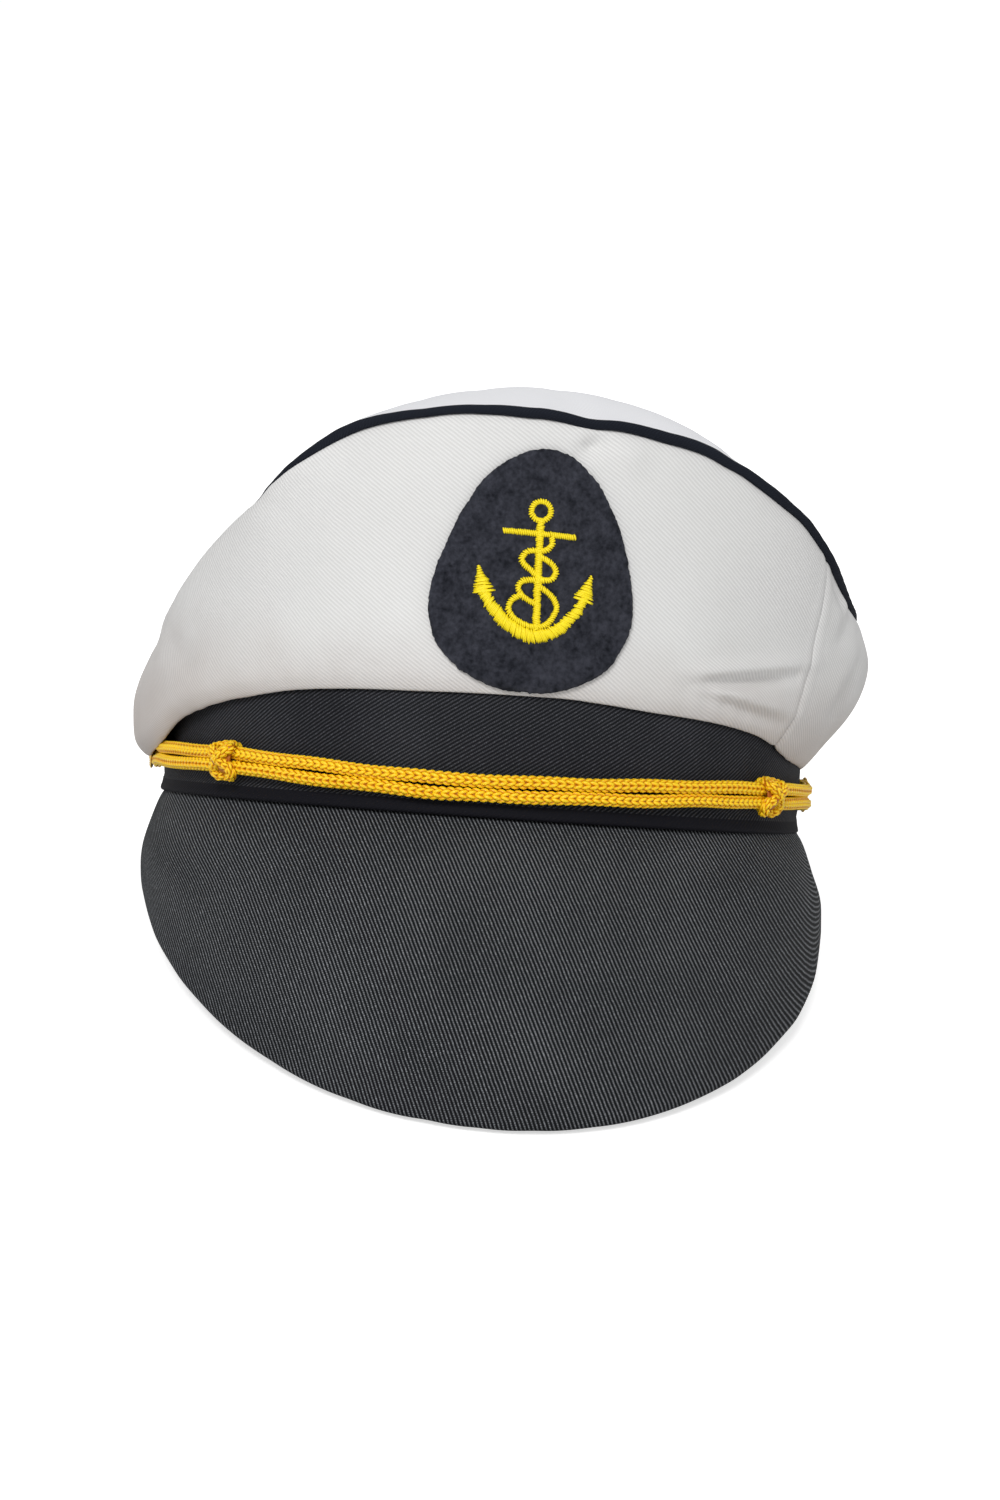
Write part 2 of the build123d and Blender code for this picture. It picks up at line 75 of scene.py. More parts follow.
def circle_angles(count):
    return np.linspace(0, 2 * math.pi, count, endpoint=False)


def unit(vectors):
    return vectors / np.maximum(np.linalg.norm(vectors, axis=-1, keepdims=True), 1e-9)


def arc_length(points):
    return np.r_[0, np.cumsum(np.linalg.norm(np.diff(points, axis=0), axis=1))]


def hermite(knots, values, slopes, x):
    i = np.clip(np.searchsorted(knots, x) - 1, 0, len(knots) - 2)
    h = knots[i + 1] - knots[i]
    t = (x - knots[i]) / h
    if values.ndim > 1:
        h, t = h[:, None], t[:, None]
    return ((2 * t**3 - 3 * t**2 + 1) * values[i] + (t**3 - 2 * t**2 + t) * h * slopes[i]
            + (-2 * t**3 + 3 * t**2) * values[i + 1] + (t**3 - t**2) * h * slopes[i + 1])


def table(pairs, x):
    """Smooth look-up in (x, value) pairs, level at both ends."""
    knots, values = np.array(pairs, float).T
    slopes = np.gradient(values, knots)
    slopes[0] = slopes[-1] = 0
    return hermite(knots, values, slopes, np.clip(x, knots[0], knots[-1]))


def side_table(tables, phi):
    """Look-up by angle from the front in a (left, right) pair of tables."""
    phi = signed(phi)
    left, right = tables
    return np.where(phi < 0, table(left, -phi), table(right, phi))


def smooth_curve(points, count, power=1.0):
    """Curve through the points; power below 1 gives short spans more of the samples."""
    points = np.array(points, float)
    spans = np.linalg.norm(np.diff(points, axis=0), axis=1) ** power
    knots = np.r_[0, np.cumsum(spans)]
    at = np.linspace(0, knots[-1], count)
    return hermite(knots, points, np.gradient(points, knots, axis=0), at)


def closed_curve(points, count):
    points = np.array(points, float)
    points = np.r_[points[-3:], points, points[:3]]
    knots = arc_length(points)
    at = np.linspace(knots[3], knots[-3], count, endpoint=False)
    return hermite(knots, points, np.gradient(points, knots, axis=0), at)


def resample(line, count, endpoint=True):
    """Points at equal distances along a line."""
    length = arc_length(line)
    at = np.linspace(0, length[-1], count, endpoint=endpoint)
    return np.stack([np.interp(at, length, column) for column in line.T], -1)


def resample_loop(line, step):
    line = np.r_[line, line[:1]]
    return resample(line, int(arc_length(line)[-1] / step), endpoint=False)


def tangents(line, closed=False):
    if closed:
        return unit(np.roll(line, -1, 0) - np.roll(line, 1, 0))
    return unit(np.gradient(line, axis=0))


def bumps(u, v, height, seed, waves=9):
    """Low smooth undulation: a sum of random plane waves."""
    draw = np.random.default_rng(seed)
    total = 0
    for _ in range(waves):
        along_u, along_v = draw.uniform(-1, 1), draw.uniform(-1, 1)
        phase, pace = draw.uniform(0, 6.28), draw.uniform(0.5, 1.6)
        total = total + np.sin((along_u * u + along_v * v) * pace + phase)
    return height * total / math.sqrt(waves)


# ---------------------------------------------------------------- meshes
def grid_normals(points, closed=False):
    if closed:
        du = np.roll(points, -1, 0) - np.roll(points, 1, 0)
    else:
        du = np.gradient(points, axis=0)
    return unit(np.cross(du, np.gradient(points, axis=1)))


def skin_faces(n, m, closed, sign, capped):
    """Faces of an n by m grid and its inner copy, joined along their rims.

    sign -1 turns them over; capped closes column 0 with a polygon on each skin."""
    faces = []
    inner = n * m
    for i in range(n if closed else n - 1):
        a, b = i * m, (i + 1) % n * m
        for j in range(m - 1):
            quad = (a + j, b + j, b + j + 1, a + j + 1)
            faces.append(quad[::sign])
            faces.append(tuple(inner + k for k in quad[::-sign]))
        if not capped:
            faces.append((a, inner + a, inner + b, b)[::sign])
        a, b = a + m - 1, b + m - 1
        faces.append((a, b, inner + b, inner + a)[::sign])
    if not closed:
        end = (n - 1) * m
        for j in range(m - 1):
            faces.append((j, j + 1, inner + j + 1, inner + j)[::sign])
            faces.append((end + j, inner + end + j, inner + end + j + 1, end + j + 1)[::sign])
    if capped:
        faces.append(tuple(i * m for i in range(n))[::-sign])
        faces.append(tuple(inner + i * m for i in range(n))[::sign])
    return faces


def skin(outer, inner, uv, closed=False, sign=1, capped=False):
    points = np.concatenate([outer.reshape(-1, 3), inner.reshape(-1, 3)])
    uv = uv.reshape(-1, 2)
    return points, skin_faces(*outer.shape[:2], closed, sign, capped), np.concatenate([uv, uv])


def shell(points, uv, thickness, closed=False, sign=1, capped=False):
    """Solid skin from a grid; sign -1 for a grid whose normals point into the cloth."""
    depth = np.ones(points.shape[1]) * thickness
    normals = grid_normals(points, closed) * sign
    inner = points - normals * depth[None, :, None]
    return skin(points, inner, uv, closed, sign, capped)


def hoop_faces(rings, sides, closed=False):
    """Quads between neighbouring closed rings of points."""
    faces = []
    for i in range(rings if closed else rings - 1):
        a, b = i * sides, (i + 1) % rings * sides
        for j in range(sides):
            k = (j + 1) % sides
            faces.append((a + j, a + k, b + k, b + j))
    return faces


def tube(line, radius, sides=8, closed=False, up=(0.0, 0.0, 1.0), ripple=1.0, turns=False):
    """Tube along a line. u runs along it in mm, v round it in mm, or in turns."""
    n = len(line)
    along = tangents(line, closed)
    side = np.cross(along, np.broadcast_to(np.array(up), along.shape))
    size = np.linalg.norm(side, axis=1, keepdims=True)
    side = np.where(size > 1e-3, side / np.maximum(size, 1e-9), np.array([1.0, 0, 0]))
    over = np.cross(side, along)
    radius = np.broadcast_to(np.asarray(radius, float), (n,))
    angle = circle_angles(sides)
    ring = (np.cos(angle)[None, :, None] * side[:, None, :]
            + np.sin(angle)[None, :, None] * over[:, None, :])
    points = line[:, None, :] + ring * (radius[:, None] * ripple)[..., None]
    v = angle / (2 * math.pi) if turns else angle * radius.mean()
    uv = np.stack(np.broadcast_arrays(arc_length(line)[:, None], v[None, :]), -1)
    faces = hoop_faces(n, sides, closed)
    if not closed:
        faces.append(tuple(range(sides))[::-1])
        faces.append(tuple((n - 1) * sides + j for j in range(sides)))
    return points.reshape(-1, 3), faces, uv.reshape(-1, 2)


def join(meshes):
    faces, start = [], 0
    for points, part_faces, _ in meshes:
        faces += [tuple(i + start for i in face) for face in part_faces]
        start += len(points)
    return np.concatenate([m[0] for m in meshes]), faces, np.concatenate([m[2] for m in meshes])


def add_piece(node, mesh, material, slot, body="cap", trim=None):
    """Make the looks of one CAD piece, with an optional outline trim."""
    points, faces, uv = mesh
    if trim is not None:
        points = trim(points)
    data = bpy.data.meshes.new("vis_" + node)
    data.from_pydata([tuple(p) for p in place(points)], [], faces)
    layer = data.uv_layers.new(name="UV")
    corner = np.empty(len(data.loops), np.int32)
    data.loops.foreach_get("vertex_index", corner)
    layer.data.foreach_set("uv", np.asarray(uv, np.float32)[corner].ravel())
    data.polygons.foreach_set("use_smooth", np.ones(len(data.polygons), bool))
    data.materials.append(material)
    data.validate()
    piece = bpy.data.objects.new("vis_" + node, data)
    bpy.context.scene.collection.objects.link(piece)
    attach(piece, body)
    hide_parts(node)


# ---------------------------------------------------------------- shader graphs
class Signal:
    """A shader output; arithmetic on it adds Math nodes."""

    def __init__(self, graph, socket):
        self.graph, self.socket = graph, socket

    def math(self, operation, *others):
        return self.graph.math(operation, self, *others)

    def __add__(self, other):
        return self.math("ADD", other)

    def __sub__(self, other):
        return self.math("SUBTRACT", other)

    def __rsub__(self, other):
        return self.graph.math("SUBTRACT", other, self)

    def __mul__(self, other):
        return self.math("MULTIPLY", other)

    def __pow__(self, other):
        return self.math("POWER", other)

    def scaled(self, factor, offset):
        return self.math("MULTIPLY_ADD", factor, offset)

    def wave(self, cycles=1.0):
        """Sine wave between 0 and 1."""
        return (self * (2 * math.pi * cycles)).math("SINE").scaled(0.5, 0.5)


class Graph:
    def __init__(self, tree):
        self.tree = tree

    def node(self, kind, inputs=None, **settings):
        """Add a node, set its properties and feed its inputs."""
        node = self.tree.nodes.new("ShaderNode" + kind)
        for name, value in settings.items():
            setattr(node, name, value)
        self.feed(node, inputs or {})
        return node

    def feed(self, node, inputs):
        """Link signals and set plain values, by input name or index."""
        for key, value in inputs.items():
            if isinstance(value, Signal):
                self.tree.links.new(value.socket, node.inputs[key])
            else:
                node.inputs[key].default_value = value

    def out(self, node, key=0):
        return Signal(self, node.outputs[key])

    def math(self, operation, *values):
        return self.out(self.node("Math", dict(enumerate(values)), operation=operation))

    def uv(self):
        return self.out(self.node("UVMap", uv_map="UV"))

    def place_in_object(self):
        return self.out(self.node("TexCoord"), "Object")

    def split(self, vector):
        node = self.node("SeparateXYZ", {0: vector})
        return self.out(node, 0), self.out(node, 1)

    def noise(self, vector, scale, detail):
        inputs = {"Scale": scale, "Detail": detail, "Vector": vector}
        return self.out(self.node("TexNoise", inputs), "Fac")

    def ramp(self, factor, stops):
        """Colour ramp through (position, rgb) stops."""
        node = self.node("ValToRGB", {0: factor})
        elements = node.color_ramp.elements
        for element, (position, colour) in ((elements[0], stops[0]), (elements[1], stops[-1])):
            element.position, element.color = position, (*colour, 1)
        for position, colour in stops[1:-1]:
            elements.new(position).color = (*colour, 1)
        return self.out(node)

    def mix(self, factor, colour, other, blend="MIX"):
        inputs = {0: factor, 6: colour, 7: (*other, 1)}
        return self.out(self.node("Mix", inputs, data_type="RGBA", blend_type=blend), 2)

    def camera_ray(self):
        return self.out(self.node("LightPath"), "Is Camera Ray")


def new_material(name):
    material = bpy.data.materials.new(name)
    material.use_nodes = True
    graph = Graph(material.node_tree)
    graph.tree.nodes.clear()
    output = graph.node("OutputMaterial")
    bsdf = graph.node("BsdfPrincipled")
    graph.feed(output, {0: graph.out(bsdf)})
    return material, graph, bsdf


def finish_surface(graph, bsdf, colour, rough, grain, height, strength, distance, **levels):
    """Colour, base roughness and its grain, further input levels, and a bump."""
    graph.feed(bsdf, {"Base Color": colour, "Roughness": rough})
    graph.feed(bsdf, {key.replace("_", " "): value for key, value in levels.items()})
    bump = graph.node("Bump", {"Strength": strength, "Distance": distance, "Height": height})
    graph.feed(bsdf, {"Roughness": grain, "Normal": graph.out(bump)})


def twill(name, low, high, angle, pitch, bump=0.25, rough=0.85, sheen=0.15, contrast=0.5,
          painted_glint=0.0, blotch=0.06, spec=0.25, tint=None, plain=None, power=1.0):
    """Woven twill in millimetre UVs: slanting ridges crossed by short yarn floats.

    angle and pitch set the ridges. tint is (v below, v above, colour): the colour multiplies the
    cloth below and fades out above; on the crown wall this is painted warm shade near the band, on
    the visor it darkens the part towards its outer edge. plain is (middle v, half width, colour) of a
    strip."""
    material, graph, bsdf = new_material(name)
    uv = graph.uv()
    u, v = graph.split(uv)
    wobble = (graph.noise(uv, scale=0.35, detail=3) - 0.5) * 0.9
    cosine, sine = math.cos(math.radians(angle)), math.sin(math.radians(angle))
    across = u * (-sine / pitch) + v * (cosine / pitch) + wobble * (0.3 / pitch)
    along = u * (cosine / pitch) + v * (sine / pitch)
    ridge = across.wave()
    # each ridge shifts its floats by 0.37 of a pitch against the last
    yarn = (along + across.math("FLOOR") * 0.37).wave(cycles=1.7)
    fine = graph.noise(uv, scale=5.0, detail=3)
    weave = ridge * 0.7 + yarn * ridge * 0.3
    broad = graph.noise(uv, scale=0.03, detail=4)
    shade = (weave - 0.5) * contrast + ((broad - 0.5) * (blotch * 8) + 0.5)
    # Painted highlights: random bright dots on the ridges stand in for glints on the threads.
    if painted_glint:
        painted_glint_dots = graph.noise(uv, scale=1.9, detail=1).math("GREATER_THAN", 0.60)
        shade = shade + painted_glint_dots * weave ** 2.0 * painted_glint
    if power != 1.0:
        shade = shade.math("MAXIMUM", 0.0) ** power
    colour = graph.ramp(shade, [(0.0, low), (1.0, high)])
    if tint:
        below, above, tint_colour = tint
        height = v + (graph.noise(uv, scale=0.06, detail=2) - 0.5) * 14.0
        inputs = {"From Min": below, "From Max": above, "Value": height}
        rise = graph.out(graph.node("MapRange", inputs, interpolation_type="SMOOTHSTEP"))
        colour = graph.mix(1.0 - rise, colour, tint_colour, blend="MULTIPLY")
    if plain:
        middle, half_width, plain_colour = plain
        strip = (v - middle).math("ABSOLUTE").math("LESS_THAN", half_width)
        colour = graph.mix(strip, colour, plain_colour)
    finish_surface(graph, bsdf, colour, rough, grain=fine.scaled(0.12, rough - 0.06),
                   height=weave + fine * 0.25, strength=bump, distance=0.0002,
                   Sheen_Weight=sheen, Sheen_Roughness=0.4, Specular_IOR_Level=spec)
    return material


def thread(name, low, middle, high, scale=1.0, rough=0.45, spec=0.4, sheen=0.1, painted_light_and_shade=True):
    """Bundle of filaments. By default v is in turns, and the colour gets a painted highlight on each
    strand's outer crest and painted shade in its grooves.
    """
    material, graph, bsdf = new_material(name)
    uv = graph.uv()
    stretch = (0.6 * scale, (9.0 if painted_light_and_shade else 6.0) * scale, 1)
    stretched = graph.out(graph.node("Mapping", {"Scale": stretch, "Vector": uv}))
    filaments = graph.noise(stretched, scale=1.6, detail=3)
    mottle = graph.noise(graph.place_in_object(), scale=260.0, detail=2)
    shade = filaments * 0.35 + mottle * 0.3
    if painted_light_and_shade:
        # painted highlight on the outward crest, painted shade towards the grooves
        painted_crest_highlight = graph.split(uv)[1].wave()
        shade = shade + (painted_crest_highlight ** 3.5).scaled(0.75, -0.15)
    else:
        shade = shade + 0.15
    colour = graph.ramp(shade, [(0.12, low), (0.45, middle), (0.9, high)])
    finish_surface(graph, bsdf, colour, rough, grain=filaments.scaled(0.2, rough - 0.1),
                   height=filaments, strength=0.35, distance=0.0001,
                   Sheen_Weight=sheen, Specular_IOR_Level=spec)
    return material


def felt_material(name, low, high, scale=900.0):
    material, graph, bsdf = new_material(name)
    place_in_object = graph.place_in_object()
    fine = graph.noise(place_in_object, scale=scale, detail=6)
    broad = graph.noise(place_in_object, scale=scale * 0.28, detail=4)
    cells = graph.out(graph.node("TexVoronoi", {"Scale": scale * 0.9, "Vector": place_in_object},
                                 feature="DISTANCE_TO_EDGE"))
    colour = graph.ramp(fine * 0.55 + broad * 0.5, [(0.32, low), (0.72, high)])
    finish_surface(graph, bsdf, colour, 0.95, grain=fine.scaled(0.1, 0.88),
                   height=fine + cells * 0.8, strength=0.5, distance=0.0003,
                   Sheen_Weight=0.06, Sheen_Roughness=0.6, Specular_IOR_Level=0.08)
    return material


def metal_material(name, low, high, rough=0.25):
    material, graph, bsdf = new_material(name)
    place_in_object = graph.place_in_object()
    fine = graph.noise(place_in_object, scale=500.0, detail=4)
    broad = graph.noise(place_in_object, scale=90.0, detail=3)
    colour = graph.ramp(fine * 0.5 + broad * 0.5, [(0.3, low), (0.7, high)])
    finish_surface(graph, bsdf, colour, rough, grain=broad.scaled(0.25, rough - 0.1),
                   height=fine, strength=0.15, distance=0.0001, Metallic=1.0)
    return material


# The tint below is painted warm shade over the lower crown wall, fading out upwards.
WHITE = twill("white_twill", (0.52, 0.515, 0.51), (0.88, 0.88, 0.875), angle=-36, pitch=0.86,
              bump=0.3, contrast=0.42, blotch=0.025, sheen=0.0, spec=0.15,
              tint=(8.0, 50.0, (0.80, 0.745, 0.715)))
# The crown top is the same white twill as the walls; its lighter, cooler colours are painted light
# where the top faces the lamps.
WHITE_LIT_TOP = twill("white_twill_lit_top", (0.62, 0.625, 0.65), (0.945, 0.95, 0.975), angle=-50,
                  pitch=0.95, bump=0.35, contrast=0.5, blotch=0.02, sheen=0.0, spec=0.15)
BAND_CLOTH = twill("band_twill", (0.004, 0.0045, 0.006), (0.078, 0.080, 0.092), angle=33,
                   pitch=0.85, bump=0.4, contrast=0.75, painted_glint=0.45, rough=0.8, sheen=0.0,
                   spec=0.12, plain=(6.6, 3.4, (0.006, 0.006, 0.009)), power=2.2)
VISOR_CLOTH = twill("visor_twill", (0.003, 0.004, 0.0055), (0.235, 0.245, 0.26), angle=-70,
                    pitch=0.92, bump=0.6, contrast=0.95, painted_glint=0.55, rough=0.75, sheen=0.0,
                    spec=0.12, power=3.2, blotch=0.03, tint=(-106.0, -62.0, (0.74, 0.74, 0.76)))
PIPING_CLOTH = twill("piping_cloth", (0.004, 0.005, 0.009), (0.018, 0.022, 0.032), angle=45,
                     pitch=0.6, bump=0.3, rough=0.85, sheen=0.0, spec=0.12)
LINING = twill("lining_cloth", (0.62, 0.62, 0.61), (0.8, 0.8, 0.79), angle=90, pitch=0.5,
               bump=0.15, contrast=0.3, rough=0.6, spec=0.4)
SWEAT_TAPE = twill("sweatband_tape", (0.008, 0.008, 0.009), (0.035, 0.035, 0.037), angle=0,
                   pitch=0.9, bump=0.4, rough=0.7)
BUCKRAM = twill("buckram", (0.55, 0.54, 0.5), (0.82, 0.81, 0.76), angle=90, pitch=1.3,
                bump=0.6, contrast=0.8, rough=0.8)
BAND_BOARD = twill("band_board", (0.5, 0.5, 0.48), (0.74, 0.74, 0.72), angle=15, pitch=2.5,
                   bump=0.12, contrast=0.2, rough=0.6)
VISOR_BOARD = twill("visor_board", (0.02, 0.02, 0.02), (0.06, 0.06, 0.06), angle=5, pitch=3.0,
                    bump=0.1, contrast=0.2, rough=0.5)
BACKING = twill("backing_web", (0.01, 0.01, 0.012), (0.05, 0.05, 0.055), angle=45, pitch=0.8,
                bump=0.4)
FILLER = thread("filler_cotton", (0.6, 0.58, 0.5), (0.75, 0.73, 0.66), (0.85, 0.84, 0.78),
                rough=0.9, spec=0.1, painted_light_and_shade=False)
GOLD_CORD = thread("gold_cord", (0.38, 0.09, 0.0), (0.90, 0.42, 0.0), (1.0, 0.68, 0.014),
                   rough=0.36, spec=0.35, sheen=0.0)
YELLOW = thread("yellow_thread", (0.32, 0.18, 0.0), (0.82, 0.58, 0.0), (0.96, 0.80, 0.015),
                scale=1.5, rough=0.4, spec=0.3, sheen=0.0)
FELT = felt_material("badge_felt", (0.003, 0.004, 0.007), (0.044, 0.046, 0.060))
GOLD_METAL = metal_material("gold_metal", (0.75, 0.45, 0.08), (0.95, 0.68, 0.2))
STEEL = metal_material("washer_steel", (0.45, 0.45, 0.46), (0.7, 0.7, 0.7), rough=0.35)

# ---------------------------------------------------------------- band oval
# Four arcs: one at the front, one at the back and a flatter one on each side.
HALF_WIDTH, HALF_LENGTH, END_RADIUS = 88.5, 103.5, 82.5
END_Y = HALF_LENGTH - END_RADIUS
SIDE_RADIUS = (HALF_WIDTH**2 + END_Y**2 - END_RADIUS**2) / (2 * (HALF_WIDTH - END_RADIUS))
SIDE_X = SIDE_RADIUS - HALF_WIDTH
JOIN_ANGLE = math.degrees(math.atan2(SIDE_X, END_Y))


def band_oval(turn, out=0.0):
    """x, y, normal x, normal y where the oval's normal has swung by turn from the front."""
    turn = signed(turn)
    size = np.abs(turn)
    back = size > 90
    swing = np.radians(np.where(back, 180 - size, size))
    on_end = np.degrees(swing) <= JOIN_ANGLE
    x = np.where(on_end, (END_RADIUS + out) * np.sin(swing),
                 -SIDE_X + (SIDE_RADIUS + out) * np.sin(swing))
    y = np.where(on_end, END_Y + (END_RADIUS + out) * np.cos(swing),
                 (SIDE_RADIUS + out) * np.cos(swing))
    sign_x, sign_y = np.sign(turn + 1e-12), np.where(back, 1.0, -1.0)
    return x * sign_x, y * sign_y, np.sin(swing) * sign_x, np.cos(swing) * sign_y


oval_x, oval_y, _, _ = band_oval(np.linspace(-180, 180, 2881))
OVAL_PHI = np.degrees(np.arctan2(oval_x, -oval_y))
OVAL_PHI[0], OVAL_PHI[-1] = -180, 180
OVAL_R = np.hypot(oval_x, oval_y)


def band_radius(phi):
    """Distance from the axis to the oval in direction phi."""
    return np.interp(signed(phi), OVAL_PHI, OVAL_R)


# ---------------------------------------------------------------- crown wall shape
# Each is (left, right): rows of (degrees from the front, mm).
PIPING_R = (
    [(0, 109), (15, 108), (25, 107.2), (32, 105.4), (38, 101.4), (45, 96.0), (53, 92.2), (62, 90),
     (76, 88), (92, 87.5), (120, 97), (150, 108), (180, 114)],
    [(0, 109), (20, 108), (42, 106.6), (54, 104.2), (61, 102.9), (68, 102.3), (76, 102.2),
     (90, 102.5), (120, 106), (150, 112), (180, 114)])
PIPING_Z = (
    [(0, 97.8), (5, 98.5), (10, 98.3), (14, 97.4), (18, 95.9), (22, 93.6), (26, 90.3), (30, 86.2),
     (35, 81.2), (42, 75), (50, 69), (61, 59.5), (74, 51.5), (92, 47), (120, 46), (150, 46),
     (180, 46)],
    [(0, 97.8), (6, 96.8), (14, 95.7), (18, 94.6), (23, 93.1), (28, 90.7), (33, 87.3), (40, 82.8),
     (48, 76), (56, 69), (66, 63), (78, 59.5), (90, 57.5), (120, 51), (150, 47), (180, 46)])
MIDDLE_R = (
    [(0, 107.3), (25, 106.6), (40, 103.5), (55, 99.5), (70, 98), (90, 98.5), (120, 106),
     (150, 114), (180, 117.5)],
    [(0, 107.3), (30, 106), (50, 105.3), (70, 106), (90, 107.0), (120, 109.5), (150, 115),
     (180, 117.5)])
MIDDLE_Z = (
    [(0, 66), (30, 58), (45, 46), (60, 34), (75, 25), (90, 21), (120, 26), (150, 30), (180, 33)],
    [(0, 66), (30, 62), (50, 54), (70, 47), (90, 45), (120, 38), (150, 34), (180, 33)])
# Lowest point of the cloth where it hangs over the band, and how far it stands out there.
HANG_Z = (
    [(0, 29.3), (14, 28.8), (23, 28.4), (33, 27.2), (41, 25.2), (47, 23.7), (53, 21.7),
     (61, 18.5), (70, 12.5), (85, 8.5), (120, 13), (180, 17)],
    [(0, 29.3), (7, 29.3), (13, 28.6), (19, 27.7), (26, 27), (35, 25.7), (40, 24.6), (46, 22.6),
     (54, 19), (65, 17), (90, 16), (120, 16), (180, 17)])
HANG_OUT = (
    [(0, 1.0), (30, 1.6), (45, 2.4), (60, 4.0), (90, 5.2), (120, 7.0), (180, 8.0)],
    [(0, 1.0), (30, 1.4), (45, 1.8), (60, 2.2), (90, 2.8), (120, 5.5), (180, 8.0)])
WALL_FOOT_Z = 30.6
PROFILE_COUNT = 160
MM_PER_DEGREE = 1.85    # round the wall
# (phi, z) where a crease starts, (phi, z) where it ends, width, depth
CREASES = [
    (22.0, 34.6, 46.5, 40.5, 1.8, 2.2), (23.0, 33.0, 46.0, 27.5, 1.9, 1.8),
    (53, 70, 60, 58, 2.6, 1.2), (56, 50, 66, 62, 3.2, 0.9), (60, 30, 68, 47, 4.0, 1.1),
    (-52, 32, -70, 40, 4, 0.8), (-66, 52, -84, 40, 4, 0.9), (100, 26, 118, 42, 5, 1.6),
    (140, 28, 152, 44, 5, 1.5), (-110, 26, -126, 42, 5, 1.6), (-150, 26, -162, 42, 5, 1.5),
    (-98, 30, -104, 46, 4, 1.2)]


def wall_profiles(phi):
    """For every phi, (radius, z) of the wall from the band up to the piping."""
    band = band_radius(phi)
    piping_r, piping_z = side_table(PIPING_R, phi), side_table(PIPING_Z, phi)
    middle_r, middle_z = side_table(MIDDLE_R, phi), side_table(MIDDLE_Z, phi)
    hang_z, hang_out = side_table(HANG_Z, phi), side_table(HANG_OUT, phi)
    turn = signed(phi)
    # extra fullness on the two flanks
    left = clip01((-turn - 25) / 12) * clip01((120 + turn) / 25)
    right = clip01((turn - 63) / 20) * clip01((120 - turn) / 25)
    stations = np.array([
        (band - 1.2, WALL_FOOT_Z + 0 * band),
        (band + 0.28 * hang_out, hang_z + 0.4 * (WALL_FOOT_Z - hang_z)),
        (band + 0.8 * hang_out, hang_z),
        (band + 1.45 * hang_out + 0.9, hang_z + 2.5 + 0.14 * hang_out),
        (middle_r, middle_z),
        ((middle_r + piping_r) / 2 + 0.8 + 2.6 * left + 1.2 * right,
         (middle_z + piping_z) / 2 + 1 + 1.5 * left),
        (piping_r + 0.1 + 4.1 * left + 2.3 * right, piping_z - 2.2 + 1.5 * left + 1.2 * right),
        (piping_r - 0.7, piping_z - 0.5)])
    return np.stack([
        resample(smooth_curve(stations[..., i], PROFILE_COUNT, power=0.62), PROFILE_COUNT)
        for i in range(len(phi))])


def wall_relief(phi, z):
    """Small cloth movement of the wall, outwards in mm."""
    phi = signed(phi)
    out = bumps(phi * 0.06, z * 0.05, 0.55, seed=3) + bumps(phi * 0.15, z * 0.10, 0.22, seed=5)
    # a dent under the piping, just right of the front, and a swelling beside it
    out -= 2.2 * bell((phi - 8.0 - 0.25 * (z - 92)) / 1.7) * bell((z - 92.0) / 3.6)
    out += 0.9 * bell((phi - 12.8) / 2.4) * bell((z - 90) / 5)
    for phi0, z0, phi1, z1, width, depth in CREASES:
        run, rise = (phi1 - phi0) * MM_PER_DEGREE, z1 - z0
        x, y = (phi - phi0) * MM_PER_DEGREE, z - z0
        part = (x * run + y * rise) / (run * run + rise * rise)
        on_line = clip01(part)
        distance = np.sqrt((x - on_line * run) ** 2 + (y - on_line * rise) ** 2)
        fade = bell(np.maximum(0.35 - part, 0) / 0.28) * bell(np.maximum(part - 0.72, 0) / 0.26)
        out -= depth * bell(distance / width) * fade
        # soft ridge along one side of the crease
        aside = (x * rise - y * run) / math.hypot(run, rise)
        out += (0.55 * depth * bell((aside + 1.7 * width) / (1.3 * width))
                * bell(np.maximum(np.abs(part - 0.6) - 0.25, 0) / 0.3))
    return out


